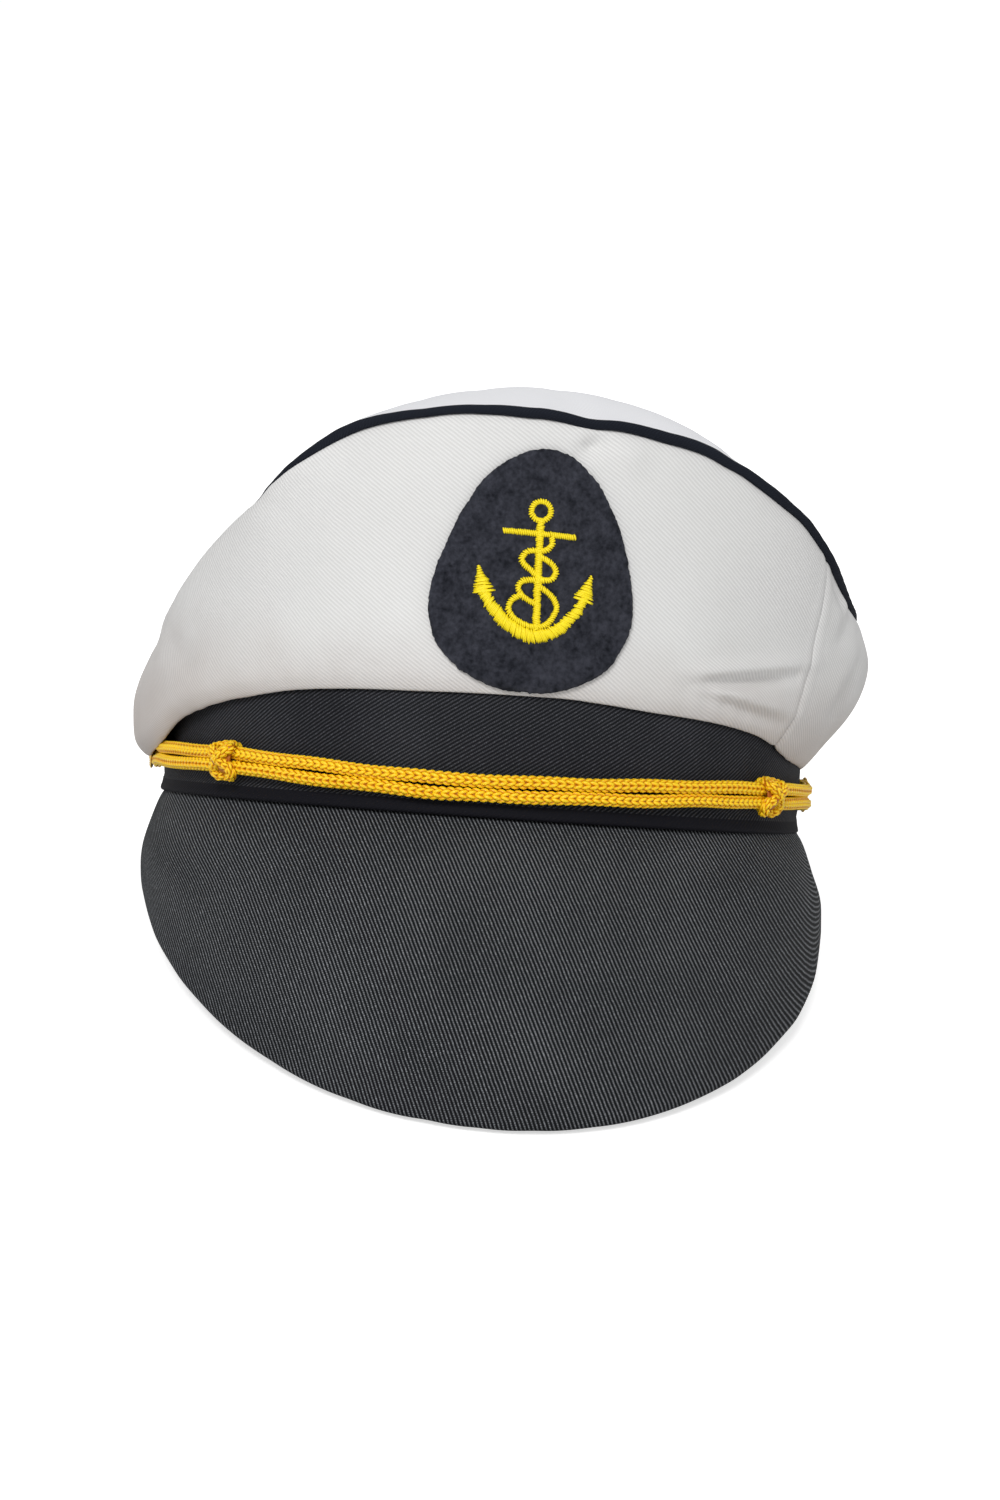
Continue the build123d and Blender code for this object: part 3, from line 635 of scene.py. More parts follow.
def wall(start, end, columns, rows, inset=0.0, v0=0.0, v1=1.0, tuck=True, relief=1.0):
    """Grid of the wall between two seam lines, each the phi at its (bottom, top).

    v0 and v1 are the parts of the height covered; tuck draws the side edges in."""
    fine = np.linspace(min(start) - 2, max(end) + 2, int((max(end) - min(start)) / 1.2) + 4)
    profiles = wall_profiles(fine)
    u = np.linspace(0, 1, columns)
    v = np.linspace(v0, v1, rows)
    first = start[0] + (start[1] - start[0]) * v
    last = end[0] + (end[1] - end[0]) * v
    phi = first + (last - first) * u[:, None]

    def cell(at, count):
        low = np.clip(np.floor(at).astype(int), 0, count - 2)
        return low, (at - low)[..., None]

    i, s = cell((phi - fine[0]) / (fine[1] - fine[0]), len(fine))
    j, t = cell(np.broadcast_to(v * (PROFILE_COUNT - 1), phi.shape), PROFILE_COUNT)
    section = ((profiles[i, j] * (1 - t) + profiles[i, j + 1] * t) * (1 - s)
               + (profiles[i + 1, j] * (1 - t) + profiles[i + 1, j + 1] * t) * s)
    radius, z = section[..., 0], section[..., 1]
    angle = np.radians(phi)
    points = np.stack([radius * np.sin(angle), -radius * np.cos(angle), z], -1)
    normals = grid_normals(points)
    # relief fades in above the band, sooner to the right of the front, and out at the piping
    near = bell((signed(phi) - 35) / 13)
    mask = clip01((v - 0.17 + 0.10 * near) / (0.30 - 0.17 * near))
    mask = mask * mask * (3 - 2 * mask) * clip01((1 - v) / 0.08)
    out = wall_relief(phi, z) * mask * relief - inset
    # gathers where the cloth meets the band
    out = out + (0.10 * np.sin(phi * 1.3 + 2 * np.sin(phi * 0.21))
                 * clip01(1 - np.abs(v - 0.16) / 0.09) * relief)
    if tuck:
        across = (end[0] - start[0]) * u * MM_PER_DEGREE
        from_edge = np.minimum(across, across[-1] - across)[:, None]
        out = out - 0.42 * clip01(1 - from_edge / 1.8) ** 1.6
        out = out + 0.12 * bell((from_edge - 3.0) / 1.4)
    points = points + normals * out[..., None]
    uv_u = (phi - (start[0] + end[0]) / 2) * (math.pi / 180) * 106
    steps = np.cumsum(np.linalg.norm(np.diff(points, axis=1), axis=2), axis=1)
    climb = np.concatenate([np.zeros((columns, 1)), steps], 1)
    uv_v = points[:, -1:, 2] - (climb[:, -1:] - climb)
    return points, np.stack([uv_u, uv_v], -1)


# ---------------------------------------------------------------- piping line and crown top
# (y, z) of the top along its middle
TOP_Z = [(-112, 99), (-100, 105.5), (-88, 110), (-70, 113.6), (-50, 115), (-30, 114.4),
         (0, 110.5), (30, 102), (60, 88), (85, 70), (103, 55), (116, 46)]
TOP_CENTRE = np.array([4.0, -4.0])


def piping_line(count, inset=0.0, drop=0.0):
    """Closed line where wall and top meet, and the phi of its points."""
    phi = np.linspace(-180, 180, count, endpoint=False)
    angle = np.radians(phi)
    wobble = 0.35 * np.sin(phi * 0.23) + 0.2 * np.sin(phi * 0.61 + 1)
    dent = 0.5 * bell((phi - 7.0) / 2.6)
    radius = side_table(PIPING_R, phi) - inset - dent
    z = side_table(PIPING_Z, phi) - drop + 0.3 * wobble - dent
    return np.stack([radius * np.sin(angle), -radius * np.cos(angle), z], -1), phi


def dome(columns, rows, inset, drop, relief=1.0):
    """Grid of the crown top, from its centre out to the piping line."""
    edge, phi = piping_line(columns, inset, drop)
    rho = np.linspace(0.004, 1, rows) ** 0.8
    xy = TOP_CENTRE + (edge[:, None, :2] - TOP_CENTRE) * rho[None, :, None]
    x, y = xy[..., 0], xy[..., 1]
    top_z, edge_z = table(TOP_Z, y) - drop, edge[:, None, 2]
    phi = phi[:, None]
    # the fall to the edge is more even on the sides than at front and back
    side = np.abs(np.sin(np.radians(phi))) ** 1.5
    fall = np.maximum(1 - rho ** (2.3 - 0.75 * side), 0) ** (0.75 + 0.13 * side)
    z = edge_z + np.maximum(top_z - edge_z, 0.5) * fall
    mask = clip01((1 - rho) / 0.06) * relief
    z = z + (bumps(x * 0.05, y * 0.05, 0.8, seed=11) + bumps(x * 0.13, y * 0.12, 0.3, seed=12)) * mask
    # puckers running in from the piping
    z = z + 0.28 * np.sin(phi * 0.55 + 3 * np.sin(phi * 0.07)) * bell((1 - rho) / 0.12) * mask
    return np.concatenate([xy, z[..., None]], -1), xy


# ---------------------------------------------------------------- outline trims
# (x, z) of each outline on the plane y = OUTLINE_Y, as met from EYE
EYE = np.array([-50.8, -748.4, 10.8])
OUTLINE_Y = -10
CROWN_LINE = [
    (-96.4, 12.5), (-98.2, 17.9), (-98.3, 23.4), (-97.0, 29.1), (-94.9, 34.7), (-92.6, 40.5),
    (-91.3, 46.1), (-89.2, 51.8), (-86.3, 57.5), (-82.9, 63.3), (-78.6, 69.2), (-73.7, 75.1),
    (-67.8, 81.1), (-63.2, 87.0), (-60.9, 90.0), (-58.1, 93.0), (-55.0, 96.0), (-51.3, 99.1),
    (-47.1, 102.2), (-42.0, 105.4), (-34.2, 108.8), (-24.7, 112.3), (-8.2, 116.4), (2.5, 118.2),
    (13.3, 118.1), (29.8, 116.6), (39.2, 114.6), (46.5, 112.3), (52.3, 109.9), (57.0, 107.5),
    (61.2, 105.0), (64.7, 102.5), (69.2, 100.0), (73.0, 97.5), (80.5, 92.4), (86.6, 87.2),
    (90.9, 81.9), (94.4, 76.5), (97.1, 71.1), (99.7, 65.6), (102.4, 60.1), (104.8, 54.7),
    (106.3, 49.1), (106.1, 43.5), (104.5, 37.7), (101.5, 31.8), (97.3, 25.9), (91.5, 19.9)]
PEAK_LINE = [
    (-88.3, -1.3), (-89.5, -3.6), (-90.7, -6.5), (-91.6, -9.3), (-92.9, -14.9), (-93.0, -20.5),
    (-92.4, -26.0), (-91.2, -31.4), (-89.4, -36.8), (-87.1, -42.2), (-83.7, -47.5),
    (-79.8, -52.8), (-74.8, -58.0), (-69.2, -63.2), (-62.2, -68.4), (-53.8, -73.4),
    (-44.1, -78.4), (-30.7, -83.1), (-9.2, -87.4), (5.1, -88.8), (20.5, -88.8), (36.7, -87.0),
    (50.0, -84.0), (66.0, -77.4), (76.3, -71.2), (83.3, -65.1), (88.3, -59.2), (92.7, -53.3),
    (95.2, -47.5), (97.1, -41.8), (97.8, -36.1), (98.0, -30.4), (97.9, -24.8), (97.3, -19.2),
    (95.5, -13.7), (93.1, -8.2), (89.9, -2.8)]


def smooth_round(values, kernel):
    half = len(kernel) // 2
    return np.convolve(np.r_[values[-half:], values, values[:half]], kernel, "valid")


def outline_trim(line, centre, cloud, power):
    """Function that scales a shape about centre, as met from EYE, towards the given outline.

    The scale depends on direction and grows with a power of the distance from centre."""
    full = 2 * math.pi
    centre = np.array(centre)

    def project(points):
        reach = (OUTLINE_Y - EYE[1]) / (points[:, 1] - EYE[1])
        flat = (EYE + (points - EYE) * reach[:, None])[:, [0, 2]] - centre
        return reach, flat, np.arctan2(flat[:, 1], flat[:, 0]), np.hypot(flat[:, 0], flat[:, 1])

    target = np.array(line) - centre
    target_angle = np.unwrap(np.arctan2(target[:, 1], target[:, 0]))
    order = np.argsort(target_angle)
    target_angle, target_radius = target_angle[order], np.hypot(*target.T)[order]

    # farthest point of the shape in each of 360 directions
    _, _, angle, radius = project(cloud)
    edges = np.linspace(-math.pi, math.pi, 361)
    direction = (edges[1:] + edges[:-1]) / 2
    shape_radius = np.zeros(360)
    np.maximum.at(shape_radius, np.clip(((angle + math.pi) / full * 360).astype(int), 0, 359), radius)
    found = shape_radius > 0
    shape_radius = np.interp(direction, direction[found], shape_radius[found], period=full)
    narrow = np.array([1, 2, 3, 2, 1.0]) / 9
    shape_radius = smooth_round(shape_radius, narrow)

    # beyond the ends of the outline the scale fades back to 1
    wrapped = target_angle[0] + np.mod(direction - target_angle[0], full)
    scale = np.clip(np.interp(wrapped, target_angle, target_radius) / shape_radius, 0.92, 1.08)
    inside = wrapped <= target_angle[-1]
    first, last = np.argmin(wrapped), np.argmax(np.where(inside, wrapped, -99))
    after, before = wrapped - target_angle[-1], target_angle[0] + full - wrapped
    end_scale = np.where(after < before, scale[last], scale[first])
    fade = clip01(1 - np.minimum(after, before) / 0.35)
    scale = np.where(inside, scale, 1 + (end_scale - 1) * fade)

    # smoothed narrowly, but broadly near the ends
    wide = bell(np.arange(-24, 25) / 9.0)
    gap = np.abs(np.arange(360)[:, None] - np.array([first, last]))
    broad_part = bell(np.minimum(gap, 360 - gap).min(1) / 9.0)
    scale = (smooth_round(scale, narrow) * (1 - broad_part)
             + smooth_round(scale, wide / wide.sum()) * broad_part)

    def trim(points):
        reach, flat, angle, radius = project(points)
        edge_scale = np.interp(angle, direction, scale, period=full)
        edge = np.interp(angle, direction, shape_radius, period=full)
        grow = 1 + (edge_scale - 1) * np.clip(radius / edge, 0, 1.02) ** power
        eye = EYE[[0, 2]]
        moved = points.copy()
        moved[:, [0, 2]] = eye + (centre + flat * grow[:, None] - eye) / reach[:, None]
        return moved
    return trim


def fit_outline(line, centre, clouds, power, passes):
    """Chain of trims, each worked out on the result of the one before."""
    cloud = np.concatenate([points.reshape(-1, 3) for points in clouds])
    trims = []
    for _ in range(passes):
        trims.append(outline_trim(line, centre, cloud, power))
        cloud = trims[-1](cloud)

    def run(points):
        for trim in trims:
            points = trim(points)
        return points
    return run


TOP_INSET, TOP_DROP = 0.5, -0.2
ALL_ROUND = ((-180, -180), (180, 180))
CROWN_TRIM = fit_outline(
    CROWN_LINE, centre=(3.0, 52.0), power=7.0, passes=3,
    clouds=[wall(*ALL_ROUND, 361, 90, tuck=False)[0],
            dome(360, 60, TOP_INSET, TOP_DROP)[0],
            piping_line(720)[0] + np.array([0, 0, 1.3])])

# ---------------------------------------------------------------- crown pieces
# phi of each seam at its (bottom, top)
RIGHT_SEAM, LEFT_SEAM, BACK_SEAM = (47.5, 51.5), (-86.0, -82.0), (167.0, 167.0)
LEFT_SEAM_AGAIN = (LEFT_SEAM[0] + 360, LEFT_SEAM[1] + 360)
LINING_FOOT_Z = 31.4


def add_crown_panels():
    rows = 150 // COARSE
    thickness = 0.35 + 0.55 * clip01((np.linspace(0, 1, rows) - 0.2) / 0.15)
    for node, start, end, columns in (
            ("crown_front_panel", LEFT_SEAM, RIGHT_SEAM, 420),
            ("crown_right_panel", RIGHT_SEAM, BACK_SEAM, 330),
            ("crown_left_panel", BACK_SEAM, LEFT_SEAM_AGAIN, 320)):
        mesh = shell(*wall(start, end, columns // COARSE, rows), thickness)
        add_piece(node, mesh, WHITE, "white_twill", trim=CROWN_TRIM)


def add_front_stiffener():
    grid = wall((-48, -48), (48, 48), 90, 50, inset=1.5, v0=0.30, v1=0.93, tuck=False)
    add_piece("front_stiffener", shell(*grid, 0.7), BUCKRAM, "buckram", trim=CROWN_TRIM)


def add_lining_side():
    points, uv = wall(*ALL_ROUND, 241, 60, inset=2.9, v0=0.10, v1=0.95, tuck=False, relief=0.8)
    points, uv = points[:-1], uv[:-1]
    for column in points:
        # below z = 35 the lining runs straight in to the top of the band
        low = int(np.max(np.nonzero(column[:, 2] < 35)[0], initial=0)) + 1
        turn = math.atan2(column[low, 0], -column[low, 1])
        reach = float(band_radius(math.degrees(turn))) - 2.6
        foot = np.array([reach * math.sin(turn), -reach * math.cos(turn), LINING_FOOT_Z])
        column[:low + 1] = foot + (column[low] - foot) * np.linspace(0, 1, low + 1)[:, None]
    mesh = shell(points, uv, 0.5, closed=True)
    add_piece("crown_lining_side", mesh, LINING, "lining", trim=CROWN_TRIM)


def add_crown_top():
    for node, grid, thickness, material, slot in (
            ("crown_top_panel", dome(480 // COARSE, 110 // COARSE, TOP_INSET, TOP_DROP),
             0.9, WHITE_LIT_TOP, "white_twill"),
            ("crown_lining_top", dome(180, 40, inset=5.0, drop=4.0, relief=0.7),
             0.5, LINING, "lining")):
        mesh = shell(*grid, thickness, closed=True, sign=-1, capped=True)
        add_piece(node, mesh, material, slot, trim=CROWN_TRIM)


def add_piping():
    """Cloth cover round three twisted strands."""
    count, sides = 900, 16
    line, _ = piping_line(count)
    i = np.arange(count)[:, None]
    ripple = 1 + 0.03 * np.sin(i * 0.9) * np.cos(circle_angles(sides)) + 0.05 * np.sin(i * 0.13)
    mesh = tube(line, 1.32, sides, closed=True, ripple=ripple)
    add_piece("piping_cover", mesh, PIPING_CLOTH, "piping", trim=CROWN_TRIM)

    along = tangents(line, closed=True)
    side = unit(np.cross(along, [0, 0, 1.0]))
    over = np.cross(side, along)
    strands = []
    for strand in range(3):
        twist = np.linspace(0, 2 * math.pi * 120, count, endpoint=False) + strand * 2.094
        offset = 0.3 * (np.cos(twist)[:, None] * side + np.sin(twist)[:, None] * over)
        strands.append(tube(line + offset, 0.32, 6, closed=True))
    add_piece("piping_cord", join(strands), FILLER, "filler_cord", trim=CROWN_TRIM)


add_crown_panels()
add_front_stiffener()
add_lining_side()
add_crown_top()
add_piping()

# ---------------------------------------------------------------- band
# (out from the oval, z), from the turned-in lower edge to the top
BAND_PATH = [
    (-3.4, 3.0), (-3.2, 0.6), (-2.2, -0.5), (-0.9, -0.8), (0.25, -0.7), (0.8, -0.15),
    (0.72, 0.6), (0.45, 1.5), (0.28, 2.5), (0.2, 3.1), (0.02, 3.5), (0.08, 5), (0.1, 10),
    (0.0, 20), (-0.1, 28.0), (-0.5, 30.2), (-1.6, 31.0)]
BOARD_PATH = [(-1.15, 1.0), (-1.15, 15), (-1.2, 29.2)]
SWEATBAND_PATH = [(-3.55, 0.2), (-3.75, 0.9), (-3.8, 3), (-3.9, 15), (-3.9, 33.6), (-4.1, 34.4)]


def band_shell(path, rows, columns, thickness, ripple=0.0, seed=1):
    """Sweep an (out, z) path round the band oval."""
    path = smooth_curve(path, rows)
    turn = np.linspace(-180, 180, columns, endpoint=False)
    x, y, normal_x, normal_y = band_oval(turn)
    wave = bumps(turn * 0.11, 0, ripple, seed)
    out = path[:, 0] + wave[:, None] * clip01((path[:, 1] - 2) / 6)
    points = np.stack([x[:, None] + normal_x[:, None] * out, y[:, None] + normal_y[:, None] * out,
                       np.broadcast_to(path[:, 1], out.shape)], -1)
    around = arc_length(np.stack([x, y], -1))
    uv = np.stack(np.broadcast_arrays(around[:, None], arc_length(path)), -1)
    return shell(points, uv, thickness, closed=True)


def sweatband_stitches():
    """A row of stitches near each edge of the sweatband, on its inner face."""
    count = 210
    x, y, normal_x, normal_y = band_oval(np.linspace(-180, 180, count, endpoint=False), -5.05)
    part = np.linspace(0.08, 0.86, 5)[:, None]
    hump = -np.sin(np.linspace(0, math.pi, 5)) * 0.22
    stitches = []
    for z in (2.6, 31.8):
        row = np.stack([x, y, np.full(count, z)], -1)
        for i in range(count):
            line = row[i] + (row[(i + 1) % count] - row[i]) * part
            line[:, 0] += normal_x[i] * hump
            line[:, 1] += normal_y[i] * hump
            stitches.append(tube(line, 0.2, 5))
    return stitches


add_piece("band_cover", band_shell(BAND_PATH, 66, 480, 0.9, ripple=0.14, seed=2),
          BAND_CLOTH, "band_cloth")
add_piece("band_stiffener", band_shell(BOARD_PATH, 10, 240, 1.2), BAND_BOARD, "stiffener")
sweatband = band_shell(SWEATBAND_PATH, 26, 360, 1.1, ripple=0.2, seed=6)
add_piece("sweatband", join([sweatband] + sweatband_stitches()), SWEAT_TAPE, "sweatband")

# ---------------------------------------------------------------- visor
VISOR_HALF_WIDTH, VISOR_FRONT, VISOR_BACK = 91.1, 152.18, 9.42    # the last two are -y
VISOR_ROOT_PHI = 84.0     # the root follows the band this far to each side
# (degrees round the edge from the front, z of the edge)
VISOR_EDGE_Z = [(0, -69.25), (15, -67.62), (30, -62.77), (45, -54.54), (60, -43.76),
                (72, -33.98), (82, -22.5), (90, -4.0)]
# (part of the way from root to edge, depth under the top face): over the rim and back under
VISOR_RIM = [(0.996, 0.12), (1.003, 0.5), (1.006, 1.1), (1.005, 1.8), (1.001, 2.5),
             (0.993, 2.95), (0.98, 3.12), (0.955, 3.15)]


def visor_grid(columns, path):
    """Grid over the visor from left to right; path holds (part from root to edge, depth)."""
    t = np.linspace(-1, 1, columns)
    size = np.abs(t)
    angle = np.radians(90 * size)
    edge_x = (VISOR_HALF_WIDTH * np.sin(angle)
              * (1 - 0.045 * clip01((size - 0.88) / 0.12) ** 1.4))
    edge_y = -VISOR_BACK - (VISOR_FRONT - VISOR_BACK) * np.cos(angle)
    edge_z = table(VISOR_EDGE_Z, 90 * size) + bumps(t * 6, 0, 0.25, seed=21)
    root_phi = VISOR_ROOT_PHI * size
    root_r = band_radius(root_phi) - 2.0
    root_x, root_y = root_r * np.sin(np.radians(root_phi)), -root_r * np.cos(np.radians(root_phi))
    root_z = -0.2
    dx, dy = edge_x - root_x, edge_y - root_y
    span = np.hypot(dx, dy)
    slope = np.hypot(span, edge_z)
    normal_out, normal_z = (-edge_z / slope)[:, None], (span / slope)[:, None]
    part, depth = np.array(path, float).T
    bow = (0.045 * span + 0.5)[:, None] * (4 * part * (1 - clip01(part)))
    out = span[:, None] * part + normal_out * (bow - depth)
    z = root_z + (edge_z[:, None] - root_z) * part + normal_z * (bow - depth)
    z = np.minimum(z, -0.72)
    x = np.sign(t)[:, None] * (root_x[:, None] + (dx / span)[:, None] * out)
    y = root_y[:, None] + (dy / span)[:, None] * out
    z = z + bumps(t[:, None] * 9, part * 5, 0.16, seed=23) * clip01(part)
    points = np.stack([x, y, z], -1)
    down = arc_length(points[columns // 2])
    return points, np.stack([x, np.broadcast_to(-down, x.shape)], -1)


def visor_layer(columns, rows, last, depth):
    """Grid at an even depth, out to the part `last` of the way to the edge."""
    return visor_grid(columns, [(part, depth) for part in np.linspace(0.0, last, rows)])


def visor_stitches():
    """Row of stitches under the visor, along its edge."""
    row = visor_grid(400, [(0.9, 3.1)])[0][:, 0]
    part = 1.5 * np.linspace(0, 1, 5)[:, None]
    return [tube(row[i] + (row[i + 1] - row[i]) * part, 0.16, 5) for i in range(4, 396, 2)]


PEAK_TRIM = fit_outline(
    PEAK_LINE, centre=(3.0, -8.0), power=3.0, passes=2,
    clouds=[visor_grid(721, [(0.9, 0.0), (1.0, 0.3), (1.006, 1.1), (1.003, 2.2)])[0]])
top_path = [(part, 0.0) for part in np.linspace(0, 0.985, 90)] + VISOR_RIM
top_mesh = shell(*visor_grid(440 // COARSE, top_path), 0.55, sign=-1)
add_piece("visor_top_cover", top_mesh, VISOR_CLOTH, "visor_cloth", trim=PEAK_TRIM)
board_mesh = shell(*visor_layer(200, 40, last=0.985, depth=0.62), 1.75, sign=-1)
add_piece("visor_board", board_mesh, VISOR_BOARD, "visor_board", trim=PEAK_TRIM)
under_mesh = shell(*visor_layer(300, 50, last=0.972, depth=2.42), 0.6, sign=-1)
add_piece("visor_under_cover", join([under_mesh] + visor_stitches()), VISOR_CLOTH,
          "visor_cloth", trim=PEAK_TRIM)

# ---------------------------------------------------------------- chin cord
CORD_Z = 10                 # at the side buttons
CORD_OUT = 2.7              # from the oval to the cord's middle
CORD_EASE = 0.75            # the cord lies this much closer at the buttons
CORD_SLOPE = math.tan(math.radians(1.45))
# turn from the front, and the cord's lift there
CORD_TURN = [-90, -75, -54, -44, -36, -24, -12, 0, 12, 24, 36, 46, 54, 75, 90]
CORD_LIFT = [0, 0.1, 0.9, 0.5, 0.1, -0.6, -1.0, -0.8, -0.3, 0.3, 0.8, 1.0, 1.0, 0.3, 0]
KNOT_TURN = 53.9


def cord_place(turn, height):
    """Point at a height over the cord's middle, and the outward normal there."""
    x, y, normal_x, normal_y = band_oval(turn, CORD_OUT)
    ease = CORD_EASE * clip01((np.abs(turn) - 62) / 24)
    x, y = x - normal_x * ease, y - normal_y * ease
    z = CORD_Z + y * CORD_SLOPE + np.interp(turn, CORD_TURN, CORD_LIFT) + height
    return np.stack([x, y, z], -1), np.stack([normal_x, normal_y, 0 * normal_x], -1)


def cord_loop():
    """Upper run left to right, round the right shank, lower run back, round the left shank."""
    turn = np.linspace(-88.0, 88.0, 1400)
    height = 1.78 + 1.1 * clip01((np.abs(turn) - 76) / 12) ** 2 + 0.12 * np.sin(turn * 0.33)
    upper, _ = cord_place(turn, height)
    lower, _ = cord_place(turn[::-1], -height[::-1] + 0.1 * np.sin(turn[::-1] * 0.21))

    def shank_turn(side, start):
        angle, radius = np.linspace(math.pi / 2, -math.pi / 2, 60), 2.88
        x = np.full(60, side * (HALF_WIDTH + CORD_OUT - CORD_EASE))
        points = np.stack([x, start[1] + np.cos(angle) * radius * 1.15,
                           CORD_Z + radius * np.sin(angle)], -1)
        return points[::side][1:-1]
    return np.concatenate([upper, shank_turn(1, upper[-1]), lower, shank_turn(-1, upper[0])])


def in_painted_shade(mesh):
    """Give a mesh the darkest, painted-shade colour of the thread material."""
    points, faces, uv = mesh
    return points, faces, np.stack([uv[:, 0], np.full(len(uv), 0.75)], -1)


def knitted_legs(line, radius, pitch, length, thickness):
    """Slanting stitch legs round a closed line, leaning in pairs to make columns of Vs."""
    around, sides, rings = 8, 5, 5
    along = tangents(line, closed=True)
    outward = unit(line * np.array([1, 1, 0]))
    outward = unit(outward - (outward * along).sum(1, keepdims=True) * along)
    over = np.cross(along, outward)
    n, step = len(line), np.linalg.norm(line[1] - line[0])
    rows = int(step * n / pitch)
    part = np.linspace(-0.5, 0.5, rings)
    girth = thickness * np.array([0.45, 0.92, 1.0, 0.92, 0.45])
    angle = circle_angles(sides)
    per_leg = rings * sides
    quads = np.array(hoop_faces(rings, sides))

    def sample(values, at):
        at = np.mod(at, n)
        low = np.floor(at).astype(int) % n
        t = (at - np.floor(at))[..., None]
        return values[low] * (1 - t) + values[(low + 1) % n] * t

    meshes = []
    for column in range(around):
        lean = 1 if column % 2 == 0 else -1
        start = (np.arange(rows) + (0.0 if (column // 2) % 2 == 0 else 0.5)) * pitch
        place_along = start[:, None] + part[None, :] * length * 0.86
        turn = ((column - 0.5) * 2 * math.pi / around
                + lean * part * (2 * math.pi / around) * 0.95 + 0 * place_along)
        leg_radius = (radius - 0.42 * (2 * np.abs(part)) ** 2)[None, :, None]
        centre, side, top, ahead = (sample(values, place_along / step)
                                    for values in (line, outward, over, along))
        radial = np.cos(turn)[..., None] * side + np.sin(turn)[..., None] * top
        round_ = -np.sin(turn)[..., None] * side + np.cos(turn)[..., None] * top
        leg = unit(ahead * 0.86 + round_ * lean * 0.55)
        across = np.cross(leg, radial)
        ring = (np.cos(angle)[:, None] * across[:, :, None, :]
                + np.sin(angle)[:, None] * radial[:, :, None, :] * 0.95)
        points = (centre + radial * leg_radius)[:, :, None, :] + ring * girth[:, None, None]
        uv = np.stack(np.broadcast_arrays(place_along[:, :, None], angle / (2 * math.pi)), -1)
        starts = np.arange(rows) * per_leg
        faces = [tuple(f) for f in (quads + starts[:, None, None]).reshape(-1, 4).tolist()]
        for first in starts.tolist():
            faces.append(tuple(first + j for j in range(sides))[::-1])
            faces.append(tuple(first + per_leg - sides + j for j in range(sides)))
        meshes.append((points.reshape(-1, 3), faces, uv.reshape(-1, 2)))
    return join(meshes)


def slide_knot(side):
    """Interlaced knot wound round both strands of the cord, over a filling collar."""
    middle, normal = cord_place(side * KNOT_TURN, 0.0)
    along = np.array([-normal[1], normal[0], 0.0])
    up = np.array([0, 0, 1.0])
    turn = circle_angles(420)
    leads, bights = 2, 3
    swell = 1 + 0.75 * np.sin(2 * bights * turn + 0.6) / 4.5
    out = np.maximum((2.6 * np.cos(leads * turn) + 0.9) * swell, -1.2)[:, None]
    rise = (3.7 * np.sin(leads * turn) * swell)[:, None]
    shift = (3.6 * np.sin(bights * turn))[:, None]
    line = resample_loop(middle + normal * out + along * shift + up * rise, step=0.4)

    angle = circle_angles(40)[:, None]
    part = np.linspace(-1, 1, 15)
    waist = 1 - 0.5 * part ** 2
    out = np.maximum(2.4 * np.cos(angle) * waist + 0.7, -1.2)[..., None]
    collar = (middle + normal * out + along * part[:, None] * 3.0
              + up * (3.5 * np.sin(angle) * waist)[..., None])
    # The knot's core tube and filling collar take only the painted shade colour.
    return join([
        knitted_legs(line, radius=1.08, pitch=1.75, length=2.6, thickness=0.50),
        in_painted_shade(tube(line, 0.98, 8, closed=True)),
        in_painted_shade(shell(collar, collar[..., :2], 0.4, closed=True))])


cord_line = resample_loop(cord_loop(), step=0.5)
# The core tube inside the legs takes only the painted shade colour.
cord_mesh = join([knitted_legs(cord_line, radius=1.30, pitch=2.05, length=3.05, thickness=0.60),
                  in_painted_shade(tube(cord_line[::2], 1.2, 8, closed=True))])
add_piece("chin_cord", cord_mesh, GOLD_CORD, "gold_cord", body="chin_cord")
SIDES = (("left", -1), ("right", 1))
for side_name, side in SIDES:
    node = side_name + "_slide_knot"
    add_piece(node, slide_knot(side), GOLD_CORD, "gold_cord", body=node)

# ---------------------------------------------------------------- side buttons
# (radius, height outwards from the cord's middle): shank, rim, roped ring and dome
BUTTON_PROFILE = [
    (0.9, -6.2), (1.1, -6.0), (1.15, -5.6), (1.15, -1.0), (1.15, 0.45), (1.6, 0.75), (4.0, 0.8),
    (4.75, 0.9), (5.0, 1.1), (5.0, 1.3), (4.85, 1.45), (4.6, 1.55), (4.3, 1.62), (4.0, 1.58),
    (3.75, 1.45), (3.55, 1.4), (3.3, 1.55), (2.8, 1.8), (2.2, 1.98), (1.5, 2.1), (0.8, 2.17),
    (0.2, 2.19)]
WASHER_PROFILE = [
    (1.3, -5.3), (1.28, -5.6), (1.3, -5.9), (1.6, -6.0), (3.3, -6.0), (3.55, -5.9), (3.6, -5.7),
    (3.5, -5.45), (3.2, -5.35), (1.6, -5.28)]


def revolve(side, radius, height, angle):
    """Points about the side button's axis; angle is a column of values."""
    x, y, z = np.broadcast_arrays(side * (HALF_WIDTH + CORD_OUT + height),
                                  radius * np.cos(angle), CORD_Z + radius * np.sin(angle))
    return np.stack([x, y, z], -1).reshape(-1, 3)


def button(side):
    n, m = 84, len(BUTTON_PROFILE)
    radius, height = np.array(BUTTON_PROFILE).T
    angle = circle_angles(n)[:, None]
    height = height + 0.14 * np.sin(angle * 28) * bell((radius - 4.25) / 0.45)
    faces = []
    for i in range(n):
        a, b = i * m, (i + 1) % n * m
        for j in range(m - 1):
            faces.append((a + j, b + j, b + j + 1, a + j + 1)[::side])
    faces.append(tuple(i * m for i in range(n))[::-side])
    faces.append(tuple(i * m + m - 1 for i in range(n))[::side])
    uv = np.stack(np.broadcast_arrays(radius, height), -1).reshape(-1, 2)
    return revolve(side, radius, height, angle), faces, uv


